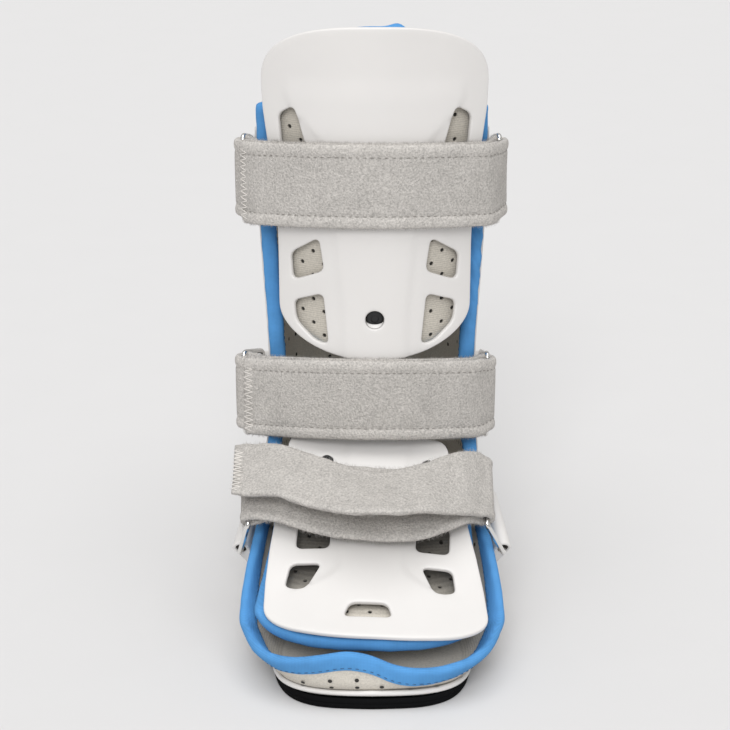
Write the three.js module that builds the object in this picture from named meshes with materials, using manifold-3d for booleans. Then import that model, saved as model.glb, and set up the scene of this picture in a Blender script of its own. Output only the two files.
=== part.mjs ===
// Night splint for heel pain, standing on its sole with the toe towards -Y.
// A rigid back shell holds a padded liner; a shin plate and an instep plate close the front,
// and three straps run round wire rings that hang in lugs on the shell.
// Millimetres, +Z up, origin under the middle of the whole object.
import * as THREE from 'three';
import { mergeVertices } from 'three/addons/utils/BufferGeometryUtils.js';
import createManifold from 'manifold-3d';

const solids = await createManifold();
solids.setup();
const { Manifold, Mesh } = solids;

const lerp = THREE.MathUtils.lerp;
const rad = THREE.MathUtils.degToRad;

// The origin lies under the middle of the whole length.
const CENTRE_Y = 2.6;

// Clear gaps and wall thicknesses
const GAP = 0.3;
const SHELL_WALL = 3;
const LINER_WALL = 5;
const TAPE = 1;
const TAPE_WIDTH = 9;
const SHIN_TAPE_WIDTH = 3;
const TAPE_GAP = 0.7;
const PLATE_WALL = 3;
const SHIN_PAD_WALL = 6;
const INSTEP_PAD_WALL = 5;
const PAD_GAP = 0.6;

// Cross sections of the liner's outer face, from the calf down round the heel to the toe.
// Each section runs from a spine point to a rim point of the boot.
const STATIONS = table(
  [
    'spine_y', 'spine_z', 'rim_y', 'rim_z', 'half_width', 'corner_width', 'corner_depth', 'flare',
    'shell_trim',
  ],
  [
    [122, 316, 24, 290, 62, 62, 60, 0, 12],
    [122, 311.5, 24, 285.5, 62, 62, 60, 0, 12],
    [122, 307, 24, 281, 62, 62, 60, 0, 12],
    [122, 304, 24, 278, 62, 62, 60, 0, 12],
    [122, 268, 24, 250, 61.5, 61.5, 60, 0, 12],
    [121, 214, 23, 204, 59.5, 59.5, 58, 0, 12],
    [118, 168, 23, 163, 57, 57, 56, 0, 12],
    [116, 130, 22, 134, 55.5, 55.5, 55, 0, 12],
    [116, 102, 22, 112, 54.5, 54, 54, 1, 13],
    [118, 74, 15.5, 96.5, 55, 51, 52, 3, 13],
    [117, 46, 6, 85.5, 53, 44, 45, 6, 12],
    [106, 22, -5, 76, 50, 34, 36, 9, 12],
    [84, 10, -14, 68, 49, 24, 26, 12, 12],
    [56, 8.6, -23, 61.5, 50, 18, 18, 14, 12],
    [28, 8.6, -33, 56, 52, 15, 15, 14, 13],
    [0, 8.6, -43, 48.5, 54, 14, 14, 14, 14],
    [-14, 8.6, -49, 44.8, 55, 14, 14, 14, 25],
    [-28, 8.6, -55, 40, 56, 14, 14, 14, 36],
    [-54, 8.6, -68, 31, 57, 14, 14, 14, 29],
    [-79, 8.6, -79, 24, 57, 13, 13, 14, 24],
  ],
);
// Toe ribs turn round the front end of the spine; the rim is wavy and not the same on both sides.
const TOE = {
  reach: 50,
  roundness: 3.1,
  corner_width: 7,
  corner_depth: 9,
  flare: -2,
  shell_trim: 18,
  rim_z: 27.5,
};
const TOE_RIM = table(
  ['turn', 'left_z', 'right_z'],
  [
    [15, 22, 22],
    [30, 21.5, 21],
    [45, 23.5, 20],
    [60, 27, 19.5],
    [75, 30, 21.5],
    [90, 27.5, 27.5],
  ],
);
// The top edge sags between the shoulders of the rim and the middle of the back.
const TOP_SAG = { depth: 22, high_z: 316, low_z: 230 };
const SHELL_TOP = 3;
const FLOOR_STEPS = 3;
const FLOOR_SHARE = { least: 0.375, most: 0.62 };
const SHELL_STEPS = 8;
const SPARE_STEPS = 2;

// Sole: right half of its outline and the height of its edge
const SOLE_OUTLINE = [
  [0, -129.5],
  [23, -127.7],
  [39, -120.8],
  [48.5, -106.5],
  [52.5, -88],
  [53, -68],
  [50.5, -36],
  [46, 2],
  [43, 42],
  [42, 70],
  [37, 92],
  [24, 106],
  [0, 111],
];
const SOLE_EDGE = 5.4;
const SEAT_GAP = 0.9;

// Shin plate: a bulge that is flatter higher up; x is measured from the plate's middle
const SHIN = {
  shift_x: 1.5,
  front_y: -11,
  bulge_low: 20,
  bulge_high: 15,
  low_z: 230,
  high_z: 335,
  bulge_x: 54,
};

// Instep plate: a bent profile in y and z, arched across and turned a little
const INSTEP = {
  front: [-117, 39],
  bend: [-46.3, 60.5],
  top: [4, 119.5],
  arch: 5,
  arch_x: 56,
  twist: 3,
  plate_shift: 1.5,
  plate_lean: 0.09,
  lean_from: 45,
  pad_shift: -1,
};
const INSTEP_MIDDLE = 55;

// Outlines: half widths at heights w, with rounded ends. Windows: the right hand one of each pair
const SHIN_ROWS = outlineRows(
  { half: 53.5, flat: 0, w: 180, bow: 28 },
  [[53.6, 200], [53.7, 215], [54, 230], [56, 250], [59, 272], [61.4, 290]],
  { half: 62, flat: 22, w: 303.5, bow: 34 },
);
const SHIN_PAD_ROWS = outlineRows(
  { half: 51.5, flat: 0, w: 179, bow: 26.5 },
  [[51, 200], [51.5, 225], [53, 255]],
  { half: 55.5, flat: 26, w: 290, bow: 26 },
);
const INSTEP_ROWS = outlineRows(
  { half: 60, flat: 6, w: 20, bow: 24 },
  [[59, 38], [56.5, 60], [53, 80], [48.5, 100]],
  { half: 46, flat: 39, w: 121, bow: 6 },
);
const INSTEP_PAD_ROWS = outlineRows(
  { half: 60.5, flat: 4, w: 29, bow: 31 },
  [[60.3, 46], [59, 61], [56, 80], [52, 100]],
  { half: 48, flat: 32, w: 118, bow: 9 },
);
const PLATE_COLUMNS = 12;
const PAD_COLUMNS = 10;

const SHIN_WINDOWS = [
  [[30.9, 221], [46.8, 210.5], [45.7, 195], [28.1, 202.4]],
  [[28.7, 189.5], [45.2, 183.4], [44.1, 170.9], [25.4, 158.3]],
  [[43.5, 293.5], [52.7, 288], [50.5, 262], [36, 265]],
];
const INSTEP_WINDOWS = [
  [[27, 49], [43.8, 49], [46, 33.5], [35, 31]],
  [[23.5, 77], [41.8, 77], [41.8, 59], [23.5, 59]],
];
const INSTEP_FRONT_WINDOW = [[-9.8, 21.5], [9.8, 21.5], [13, 11], [-13, 11]];
const WINDOW_CORNER = 4;
const RIVETS = [
  { name: 'shin_rivet_centre', on: 'shin', x: 0, w: 176, hole: 5.2, top: -0.8 },
  { name: 'shin_rivet_left', on: 'shin', x: -43, w: 232, hole: 3.6, top: 0.5 },
  { name: 'shin_rivet_right', on: 'shin', x: 43, w: 232, hole: 3.6, top: 0.5 },
  { name: 'instep_rivet_left', on: 'instep', x: -28.5, w: 114.6, hole: 3.6, top: 0.5 },
  { name: 'instep_rivet_right', on: 'instep', x: 28.5, w: 114.6, hole: 3.6, top: 0.5 },
];
const RIVET_GAP = 0.4;

// Straps, wire rings and the lugs that carry them
const STRAP_WIDTH = 46.5;
const STRAP_WALL = 2.8;
const STRAP_GAP = 0.6;
const WIRE = 1.5;
const BAR_LENGTH = 52.5;
const RING_CORNER = 4;
const LUG_LENGTH = 40;
const LUG_RADIUS = 4.5;
const LUG_BORE = 2.3;
const WRAP = WIRE + GAP + STRAP_WALL / 2;
const TAIL = 12;

// Upright straps on the leg: ring bars at the left and right, and how far the ends and lugs hang lower
const LEG_STRAPS = table(
  [
    'name', 'z', 'shoulder', 'lug_x', 'lug_y', 'left_x', 'left_y', 'right_x', 'right_y', 'drop',
    'lug_drop', 'end',
  ],
  [
    ['calf', 252.5, 61, 68.2, 46, -71.5, 28, 70.5, 28, 5, 6, 0.55],
    ['ankle', 131, 54, 63.2, 46, -73, 22.6, 65.5, 19.5, 8, 8, 0.75],
  ],
);
const SIDES = [
  { side: 'left', sign: -1 },
  { side: 'right', sign: 1 },
];

// Slanting strap on the instep: n is the distance out of its plane, w the distance along it
const INSTEP_STRAP = {
  origin: [0, -38.4, 79.6],
  tilt: 30,
  shoulder: 48,
  crown: 7.5,
  left_x: -68,
  right_x: 63,
  bar_n: -6,
  bar_w: 12.9,
  middle_w: -8,
  bar_tilt: -2,
  under_tilt: 6,
  outer_tilt: -14,
  slump: 5,
  slump_tilt: -10,
  slump_x: 5,
  slump_reach: 24,
  sag: 3,
  sag_x: 28,
  end_lift: 8,
  lift_x: 72,
  end: 1.25,
};
const INSTEP_LUG = { front: [73, -35, 50], rear: [66.3, 1, 67.5], web: [-7, 2, -14] };

// Looks of the pieces
const MATERIALS = {
  white: { color: 0xeceae4, roughness: 0.45, metalness: 0 },
  black: { color: 0x161616, roughness: 0.8, metalness: 0 },
  grey: { color: 0xa9a79f, roughness: 0.95, metalness: 0 },
  blue: { color: 0x5a9bd7, roughness: 0.85, metalness: 0 },
  strap: { color: 0xcdcac3, roughness: 0.95, metalness: 0 },
  chrome: { color: 0xc8c8cc, roughness: 0.2, metalness: 1 },
};

function table(columns, rows) {
  return rows.map((row) => Object.fromEntries(columns.map((name, k) => [name, row[k]])));
}

const at = (x, y, z) => new THREE.Vector3(x, y, z);
const towards = (point, direction, distance) => point.clone().addScaledVector(direction, distance);

// Closed geometry from loose corner points, always facing out.
function solid(corners) {
  const loose = new THREE.BufferGeometry().setFromPoints(corners);
  const joined = mergeVertices(loose, 1e-3);
  const place = joined.getAttribute('position');
  const index = joined.getIndex();
  const kept = [];
  let volume = 0;
  const p = [at(0, 0, 0), at(0, 0, 0), at(0, 0, 0)];
  for (let k = 0; k < index.count; k += 3) {
    const ids = [index.getX(k), index.getX(k + 1), index.getX(k + 2)];
    if (ids[0] !== ids[1] && ids[1] !== ids[2] && ids[2] !== ids[0]) {
      kept.push(ids);
      ids.forEach((id, c) => p[c].fromBufferAttribute(place, id));
      volume += p[0].dot(p[1].clone().cross(p[2]));
    }
  }
  joined.setIndex(kept.flatMap((ids) => (volume < 0 ? [ids[0], ids[2], ids[1]] : ids)));
  return joined;
}

// Two triangles, split along the shorter diagonal.
function quad(corners, a, b, c, d) {
  if (a.distanceTo(c) <= b.distanceTo(d)) {
    corners.push(a, b, c, a, c, d);
  } else {
    corners.push(a, b, d, b, c, d);
  }
}

// Skin between successive closed sections of equal length.
function sweep(sections, closed) {
  const corners = [];
  const count = sections[0].length;
  const spans = closed ? sections.length : sections.length - 1;
  for (let i = 0; i < spans; i += 1) {
    const here = sections[i];
    const next = sections[(i + 1) % sections.length];
    for (let k = 0; k < count; k += 1) {
      const m = (k + 1) % count;
      quad(corners, here[k], here[m], next[m], next[k]);
    }
  }
  if (!closed) {
    const first = sections[0];
    const last = sections[sections.length - 1];
    for (let k = 1; k < count - 1; k += 1) {
      corners.push(first[0], first[k + 1], first[k]);
      corners.push(last[0], last[k], last[k + 1]);
    }
  }
  return solid(corners);
}

// Wall between two faces of a grid of points, closed along its border.
// Where the first column is a shared spine it has no border of its own.
function slab(outer, inner, spine) {
  const corners = [];
  const last = outer.length - 1;
  const edge = outer[0].length - 1;
  for (let i = 0; i < last; i += 1) {
    for (let j = 0; j < edge; j += 1) {
      quad(corners, outer[i][j], outer[i + 1][j], outer[i + 1][j + 1], outer[i][j + 1]);
      quad(corners, inner[i][j], inner[i][j + 1], inner[i + 1][j + 1], inner[i + 1][j]);
    }
    quad(corners, outer[i][edge], outer[i + 1][edge], inner[i + 1][edge], inner[i][edge]);
    if (!spine) {
      quad(corners, outer[i][0], inner[i][0], inner[i + 1][0], outer[i + 1][0]);
    }
  }
  for (let j = 0; j < edge; j += 1) {
    quad(corners, outer[0][j], outer[0][j + 1], inner[0][j + 1], inner[0][j]);
    quad(corners, outer[last][j], inner[last][j], inner[last][j + 1], outer[last][j + 1]);
  }
  return solid(corners);
}

// Boot: half a cross section as a line of points from the spine to the rim.
function ribLine(rib) {
  const line = [];
  const flat = rib.half_width - rib.corner_width;
  const push = (x, d) => {
    const x2 = x + rib.flare * (d / rib.depth) ** 2;
    const point = towards(towards(rib.spine, rib.out, x2), rib.up, d);
    point.z -= 4 * rib.sag * (d / rib.depth) * (1 - d / rib.depth);
    line.push(point);
  };
  const round = Math.min(rib.corner_depth, 0.85 * rib.depth);
  push(0, 0);
  for (let k = 0; k <= 40; k += 1) {
    const turn = (k / 40) * (Math.PI / 2);
    push(flat + rib.corner_width * Math.sin(turn) ** 0.9, round * (1 - Math.cos(turn) ** 0.9));
  }
  for (let k = 1; k <= 12; k += 1) {
    push(rib.half_width, lerp(round, rib.depth, k / 12));
  }
  return line;
}

// Points at given distances along a line of points.
function along(line, distances) {
  const length = [0];
  for (let k = 1; k < line.length; k += 1) {
    length.push(length[k - 1] + line[k].distanceTo(line[k - 1]));
  }
  const total = length[line.length - 1];
  return distances(total).map((want) => {
    let k = 1;
    while (k < line.length - 1 && length[k] < want) {
      k += 1;
    }
    const share = (want - length[k - 1]) / (length[k] - length[k - 1] || 1);
    return line[k - 1].clone().lerp(line[k], share);
  });
}

function ribPoints(rib) {
  return along(ribLine(rib), (total) => {
    const shell = total - rib.shell_trim;
    const tape = total - TAPE_WIDTH;
    const flat = rib.half_width - rib.corner_width;
    const bend = THREE.MathUtils.clamp(flat, FLOOR_SHARE.least * shell, FLOOR_SHARE.most * shell);
    const stops = [];
    for (let k = 0; k < FLOOR_STEPS; k += 1) {
      stops.push((bend * k) / FLOOR_STEPS);
    }
    for (let k = FLOOR_STEPS; k <= SHELL_STEPS; k += 1) {
      stops.push(lerp(bend, shell, (k - FLOOR_STEPS) / (SHELL_STEPS - FLOOR_STEPS)));
    }
    for (let k = 1; k <= SPARE_STEPS; k += 1) {
      stops.push(lerp(shell, tape, k / (SPARE_STEPS + 1)));
    }
    return [...stops, tape, total - TAPE_WIDTH / 2, total];
  });
}

function stationRib(side, s) {
  const spine = at(0, s.spine_y, s.spine_z);
  const up = at(0, s.rim_y - s.spine_y, s.rim_z - s.spine_z);
  const depth = up.length();
  const sag = TOP_SAG.depth * THREE.MathUtils.smoothstep(s.spine_z, TOP_SAG.low_z, TOP_SAG.high_z);
  return { ...s, sag, spine, depth, up: up.normalize(), out: at(side, 0, 0) };
}

function toeRib(side, row) {
  const last = STATIONS[STATIONS.length - 1];
  const turn = rad(row.turn);
  const share = row.turn / 90;
  const wide = Math.abs(Math.cos(turn) / last.half_width) ** TOE.roundness;
  const long = Math.abs(Math.sin(turn) / TOE.reach) ** TOE.roundness;
  const rim = side < 0 ? row.left_z : row.right_z;
  const mix = (name) => lerp(last[name], TOE[name], share ** 0.7);
  return {
    spine: at(0, last.spine_y, last.spine_z),
    out: at(side * Math.cos(turn), -Math.sin(turn), 0),
    up: at(0, 0, 1),
    sag: 0,
    depth: rim - last.spine_z,
    half_width: (wide + long) ** (-1 / TOE.roundness),
    corner_width: mix('corner_width'),
    corner_depth: mix('corner_depth'),
    flare: mix('flare'),
    shell_trim: mix('shell_trim') + rim - lerp(last.rim_z, TOE.rim_z, share ** 0.7),
  };
}

function bootGrid() {
  const left = STATIONS.map((s) => ribPoints(stationRib(-1, s)));
  const right = STATIONS.map((s) => ribPoints(stationRib(1, s))).reverse();
  const toeLeft = TOE_RIM.map((row) => ribPoints(toeRib(-1, row)));
  const toeRight = TOE_RIM.slice(0, -1).map((row) => ribPoints(toeRib(1, row))).reverse();
  return [...left, ...toeLeft, ...toeRight, ...right];
}

function bootNormals(grid) {
  const last = grid.length - 1;
  const edge = grid[0].length - 1;
  return grid.map((rib, i) =>
    rib.map((point, j) => {
      const across = grid[Math.min(i + 1, last)][j].clone().sub(grid[Math.max(i - 1, 0)][j]);
      const out = rib[Math.min(j + 1, edge)].clone().sub(rib[Math.max(j - 1, 0)]);
      const normal = across.cross(out);
      if (j === 0) {
        normal.x = 0;
      }
      return normal.lengthSq() > 1e-9 ? normal.normalize() : at(0, 0, -1);
    }),
  );
}

const BOOT = bootGrid();
const BOOT_NORMAL = bootNormals(BOOT);
const BOOT_LAST = BOOT.length - 1;
const BOOT_EDGE = BOOT[0].length - 1;
const TAPE_COLUMN = BOOT_EDGE - 2;

function bootPoint(i, j, offset) {
  return towards(BOOT[i][j], BOOT_NORMAL[i][j], offset);
}

function bootWall(top, columns, outside, inside) {
  const face = (offset) => {
    const points = BOOT.map((rib, i) => rib.slice(0, columns).map((p, j) => bootPoint(i, j, offset)));
    return points.slice(top, points.length - top);
  };
  return slab(face(outside), face(inside), true);
}

// Folded tape: legs lists border points from the tape's edge to the rim, each with its normal.
function tapeSection(legs, rimOut, wall) {
  const end = legs[legs.length - 1];
  const face = (offset) => legs.map((leg) => towards(leg.point, leg.normal, offset));
  const cap = (out, offset) => towards(towards(end.point, rimOut, out), end.normal, offset);
  const far = TAPE_GAP + TAPE;
  return [
    ...face(far),
    cap(far, 0),
    cap(far, -wall),
    ...face(-wall - far).reverse(),
    ...face(-wall - TAPE_GAP).slice(0, -1),
    cap(TAPE_GAP, -wall - TAPE_GAP),
    cap(TAPE_GAP, TAPE_GAP),
    ...face(TAPE_GAP).slice(0, -1).reverse(),
  ];
}

function bootTape() {
  const leg = (i, j) => ({ point: BOOT[i][j], normal: BOOT_NORMAL[i][j] });
  const heading = (from, to) => to.clone().sub(from).normalize();
  const sections = [];
  const mitre = (i, step) => {
    const out = heading(BOOT[i][BOOT_EDGE - 1], BOOT[i][BOOT_EDGE]);
    out.add(heading(BOOT[i + step][BOOT_EDGE], BOOT[i][BOOT_EDGE]));
    const legs = [leg(i + 2 * step, TAPE_COLUMN), leg(i + step, BOOT_EDGE - 1), leg(i, BOOT_EDGE)];
    sections.push(tapeSection(legs, out, LINER_WALL));
  };
  for (let i = 3; i <= BOOT_LAST - 3; i += 1) {
    const out = heading(BOOT[i][BOOT_EDGE - 1], BOOT[i][BOOT_EDGE]);
    const legs = [TAPE_COLUMN, BOOT_EDGE - 1, BOOT_EDGE].map((j) => leg(i, j));
    sections.push(tapeSection(legs, out, LINER_WALL));
  }
  const top = (i, step, j) => {
    const out = heading(BOOT[i + step][j], BOOT[i][j]);
    const legs = [leg(i + 2 * step, j), leg(i + step, j), leg(i, j)];
    sections.push(tapeSection(legs, out, LINER_WALL));
  };
  mitre(BOOT_LAST, -1);
  for (let j = SHELL_STEPS; j >= 0; j -= 1) {
    top(BOOT_LAST, -1, j);
  }
  for (let j = 1; j <= SHELL_STEPS; j += 1) {
    top(0, 1, j);
  }
  mitre(0, 1);
  return sweep(sections, true);
}

function block(geometry) {
  const welded = solid(pointsOf(geometry));
  const vertProperties = new Float32Array(welded.getAttribute('position').array);
  const triVerts = new Uint32Array(welded.getIndex().array);
  return new Manifold(new Mesh({ numProp: 3, vertProperties, triVerts }));
}

function pointsOf(geometry) {
  const loose = geometry.getIndex() ? geometry.toNonIndexed() : geometry;
  const place = loose.getAttribute('position');
  return Array.from({ length: place.count }, (_, k) => at(0, 0, 0).fromBufferAttribute(place, k));
}

function shapeOf(manifold) {
  const mesh = manifold.getMesh();
  const geometry = new THREE.BufferGeometry();
  geometry.setAttribute('position', new THREE.BufferAttribute(mesh.vertProperties, 3));
  geometry.setIndex(Array.from(mesh.triVerts));
  return geometry;
}

// Polygon with rounded corners.
function rounded(points, radius) {
  const shape = new THREE.Shape();
  points.forEach((point, k) => {
    const corner = new THREE.Vector2(...point);
    const before = new THREE.Vector2(...points[(k + points.length - 1) % points.length]);
    const after = new THREE.Vector2(...points[(k + 1) % points.length]);
    const start = before.sub(corner).setLength(radius).add(corner);
    const end = after.sub(corner).setLength(radius).add(corner);
    if (k === 0) {
      shape.moveTo(start.x, start.y);
    } else {
      shape.lineTo(start.x, start.y);
    }
    shape.quadraticCurveTo(corner.x, corner.y, end.x, end.y);
  });
  shape.closePath();
  return shape;
}

// Prism of an outline, centred on a frame's plane.
function prism(shape, frame, depth, steps) {
  const geometry = new THREE.ExtrudeGeometry(shape, { depth, bevelEnabled: false, curveSegments: steps });
  geometry.translate(0, 0, -depth / 2);
  return geometry.applyMatrix4(frame);
}

function frameAt(origin, across, up) {
  const normal = across.clone().cross(up).normalize();
  return new THREE.Matrix4().makeBasis(across, up, normal).setPosition(origin);
}

// Sole: a flat outline that hugs the underside of the shell.
function soleSolid() {
  const right = SOLE_OUTLINE.map(([x, y]) => new THREE.Vector2(x, y));
  const left = SOLE_OUTLINE.slice(1, -1).map(([x, y]) => new THREE.Vector2(-x, y));
  const outline = new THREE.SplineCurve([...right, ...left.reverse(), right[0]]);
  const shape = new THREE.Shape(outline.getPoints(72).slice(0, -1));
  const tread = prism(shape, new THREE.Matrix4().makeTranslation(0, 0, SOLE_EDGE / 2), SOLE_EDGE, 1);
  const seat = bootWall(SHELL_TOP, SHELL_STEPS + 2, SEAT_GAP + GAP + SHELL_WALL, -LINER_WALL);
  return shapeOf(block(tread).subtract(block(seat)));
}

function normalOn(surface, x, w) {
  const e = 0.05;
  const across = surface(x + e, w).sub(surface(x - e, w));
  const up = surface(x, w + e).sub(surface(x, w - e));
  return across.cross(up).normalize();
}

function lift(surface, x, w, offset) {
  return towards(surface(x, w), normalOn(surface, x, w), offset);
}

function panel(surface, rows, columns, front, back) {
  const face = (offset) =>
    rows.map((row) =>
      Array.from({ length: columns + 1 }, (_, k) => {
        const x = row.half * ((2 * k) / columns - 1);
        return lift(surface, x, row.w, offset);
      }),
    );
  return slab(face(front), face(back), false);
}

// Tape folded round the border of a panel.
function panelTape(surface, rows, columns, front, wall, width) {
  const first = rows[0];
  const last = rows[rows.length - 1];
  const inside = (row, k) => [row.half * ((2 * k) / columns - 1), row.w];
  const border = rows.map((row) => [row.half, row.w]);
  for (let k = columns - 1; k > 0; k -= 1) {
    border.push(inside(last, k));
  }
  rows.slice().reverse().forEach((row) => border.push([-row.half, row.w]));
  for (let k = 1; k < columns; k += 1) {
    border.push(inside(first, k));
  }
  const count = border.length;
  const sections = border.map(([x, w], k) => {
    const before = border[(k + count - 1) % count];
    const after = border[(k + 1) % count];
    const step = new THREE.Vector2(after[0] - before[0], after[1] - before[1]).normalize();
    const out = new THREE.Vector2(step.y, -step.x);
    const legs = [width, 0].map((back) => {
      const place = [x - out.x * back, w - out.y * back];
      return { point: lift(surface, ...place, front), normal: normalOn(surface, ...place) };
    });
    const rim = lift(surface, x + out.x, w + out.y, front).sub(legs[1].point).normalize();
    return tapeSection(legs, rim, wall);
  });
  return sweep(sections, true);
}

function shinSurface(x, z) {
  const share = THREE.MathUtils.clamp((z - SHIN.low_z) / (SHIN.high_z - SHIN.low_z), 0, 1);
  const bulge = lerp(SHIN.bulge_low, SHIN.bulge_high, share);
  return at(x + SHIN.shift_x, SHIN.front_y + bulge * (x / SHIN.bulge_x) ** 2, z);
}

const instepProfile = new THREE.QuadraticBezierCurve(
  new THREE.Vector2(...INSTEP.front),
  new THREE.Vector2(...INSTEP.bend),
  new THREE.Vector2(...INSTEP.top),
);
const INSTEP_LENGTH = instepProfile.getLength();
function instepSurface(x0, s0) {
  const flat = new THREE.Vector2(x0, s0 - INSTEP_MIDDLE);
  const turned = flat.rotateAround(new THREE.Vector2(), -rad(INSTEP.twist));
  const x = turned.x;
  const u = (turned.y + INSTEP_MIDDLE) / INSTEP_LENGTH;
  const inside = THREE.MathUtils.clamp(u, 0, 1);
  const place = instepProfile.getPointAt(inside);
  const run = instepProfile.getTangentAt(inside);
  const over = (u - inside) * INSTEP_LENGTH;
  const drop = INSTEP.arch * (x / INSTEP.arch_x) ** 2;
  return at(x, place.x + run.x * over + run.y * drop, place.y + run.y * over - run.x * drop);
}
const instepPlateShift = (s) => INSTEP.plate_shift + INSTEP.plate_lean * (INSTEP.lean_from - s);
const instepPlateSurface = (x, s) => instepSurface(x + instepPlateShift(s), s);
const instepPadSurface = (x, s) => instepSurface(x + INSTEP.pad_shift, s);

// Rows of an outline: quarter ellipses at its two ends and straight stretches between.
function outlineRows(low, sides, high) {
  const bow = (end, sign) =>
    [12, 30, 45, 60, 75, 90].map((turn) => ({
      half: end.flat + (end.half - end.flat) * Math.sin(rad(turn)),
      w: end.w + sign * end.bow * Math.cos(rad(turn)),
    }));
  return [...bow(low, -1), ...sides.map(([half, w]) => ({ half, w })), ...bow(high, 1).reverse()];
}

const SURFACES = { shin: shinSurface, instep: instepSurface };
const PLATE_SURFACES = { shin: shinSurface, instep: instepPlateSurface };

function rivetFrame(rivet) {
  const surface = SURFACES[rivet.on];
  const normal = normalOn(surface, rivet.x, rivet.w);
  const up = surface(rivet.x, rivet.w + 1).sub(surface(rivet.x, rivet.w - 1)).normalize();
  return frameAt(surface(rivet.x, rivet.w), up.clone().cross(normal).normalize(), up);
}

function rivetSolid(rivet) {
  const radius = rivet.hole - RIVET_GAP;
  const profile = [
    [0, -PLATE_WALL - GAP],
    [radius, -PLATE_WALL - GAP],
    [radius, rivet.top - 0.8],
    [0.75 * radius, rivet.top - 0.15],
    [0, rivet.top],
  ].map(([r, n]) => new THREE.Vector2(r, n));
  const turned = new THREE.LatheGeometry(profile, 14).rotateX(Math.PI / 2);
  return solid(pointsOf(turned.applyMatrix4(rivetFrame(rivet))));
}

function mirrored(points) {
  return points.map(([x, w]) => [-x, w]).reverse();
}

function plateSolid(on, rows, windows, frame, origin) {
  let plate = block(panel(PLATE_SURFACES[on], rows, PLATE_COLUMNS, 0, -PLATE_WALL));
  windows.forEach((points) => {
    const local = points.map(([x, w]) => [x, w - origin]);
    plate = plate.subtract(block(prism(rounded(local, WINDOW_CORNER), frame, 60, 2)));
  });
  RIVETS.filter((rivet) => rivet.on === on).forEach((rivet) => {
    const hole = new THREE.Shape().absarc(0, 0, rivet.hole, 0, 2 * Math.PI);
    plate = plate.subtract(block(prism(hole, rivetFrame(rivet), 14, 8)));
  });
  return shapeOf(plate);
}

// Wire ring: a loop with rounded corners through a lug's bar and a strap's bar.
function ringSolid(bars) {
  const points = [bars.lug[0], bars.lug[1], bars.strap[1], bars.strap[0]];
  const curve = new THREE.CurvePath();
  const pull = (from, to) => towards(from, to.clone().sub(from).normalize(), RING_CORNER);
  points.forEach((point, k) => {
    const before = points[(k + 3) % 4];
    const after = points[(k + 1) % 4];
    curve.add(new THREE.QuadraticBezierCurve3(pull(point, before), point, pull(point, after)));
  });
  const line = curve.curves.flatMap((bend) => bend.getPoints(3));
  const plane = points[1].clone().sub(points[0]).cross(points[3].clone().sub(points[0])).normalize();
  const sections = line.map((point, k) => {
    const before = line[(k + line.length - 1) % line.length];
    const after = line[(k + 1) % line.length];
    const side = after.clone().sub(before).normalize().cross(plane);
    return Array.from({ length: 6 }, (_, m) => {
      const turn = (m * Math.PI) / 3;
      return towards(towards(point, plane, WIRE * Math.sin(turn)), side, WIRE * Math.cos(turn));
    });
  });
  return sweep(sections, true);
}

// Lug: a tube with a web that runs down to the wall behind it.
function lugBlocks(lug) {
  const [front, rear] = lug.axis;
  const run = rear.clone().sub(front).normalize();
  const frame = frameAt(front.clone().lerp(rear, 0.5), ...crossAxes(run, lug.web));
  const reach = lug.web.clone().projectOnPlane(run).length();
  const shape = new THREE.Shape();
  shape.absarc(0, 0, LUG_RADIUS, 0, Math.PI);
  shape.lineTo(-1.5, -reach);
  shape.lineTo(1.5, -reach);
  shape.closePath();
  const bore = new THREE.Shape().absarc(0, 0, LUG_BORE, 0, 2 * Math.PI);
  return {
    body: block(prism(shape, frame, LUG_LENGTH, 6)),
    bore: block(prism(bore, frame, 2 * LUG_LENGTH, 6)),
  };
}

// Two axes square to a run: across it, and away from a given direction.
function crossAxes(run, down) {
  const up = down.clone().projectOnPlane(run).normalize().negate();
  return [up.clone().cross(run).normalize(), up];
}

const V2 = (x, n) => new THREE.Vector2(x, n);

// Half turn round a ring's bar, from the leg's side past the lug's side to the outside.
function wrapPoints(bar, shoulder, side) {
  const front = shoulder.clone().sub(bar).normalize();
  const leg = V2(-front.y, front.x).multiplyScalar(side);
  return Array.from({ length: 7 }, (_, k) => {
    const turn = (k * Math.PI) / 6;
    const along = bar.clone().addScaledVector(leg, WRAP * Math.cos(turn));
    return along.addScaledVector(front, -WRAP * Math.sin(turn));
  });
}

function crownPoints(strap, offset) {
  return Array.from({ length: 11 }, (_, k) => {
    const x = strap.shoulder * (k / 5 - 1);
    const slope = (strap.crown(x + 0.05) - strap.crown(x - 0.05)) / 0.1;
    return V2(x, strap.crown(x)).addScaledVector(V2(-slope, 1).normalize(), offset);
  });
}

// Centreline of a strap: short tail, round the left ring, over the front, round the right ring
// and back over itself to its free end.
function strapLine(strap) {
  const lay = STRAP_GAP + STRAP_WALL / 2;
  const under = crownPoints(strap, lay);
  const outer = crownPoints(strap, lay + STRAP_WALL + STRAP_GAP);
  const left = wrapPoints(strap.left, under[0], -1);
  const right = wrapPoints(strap.right, under[10], 1);
  const ahead = under[0].clone().sub(strap.left).normalize();
  const tail = left[0].clone().addScaledVector(ahead, TAIL);
  const beside = left[6].clone().sub(strap.left).setLength(WRAP + STRAP_WALL + STRAP_GAP).add(strap.left);
  const end = outer[0].clone().lerp(beside, strap.end);
  const named = (layer, points) => points.map((point) => ({ layer, x: point.x, n: point.y }));
  return [
    ...named('wrap', [tail, ...left]),
    ...named('under', under),
    ...named('wrap', right),
    ...named('outer', [...outer.reverse(), end]),
  ];
}

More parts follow.
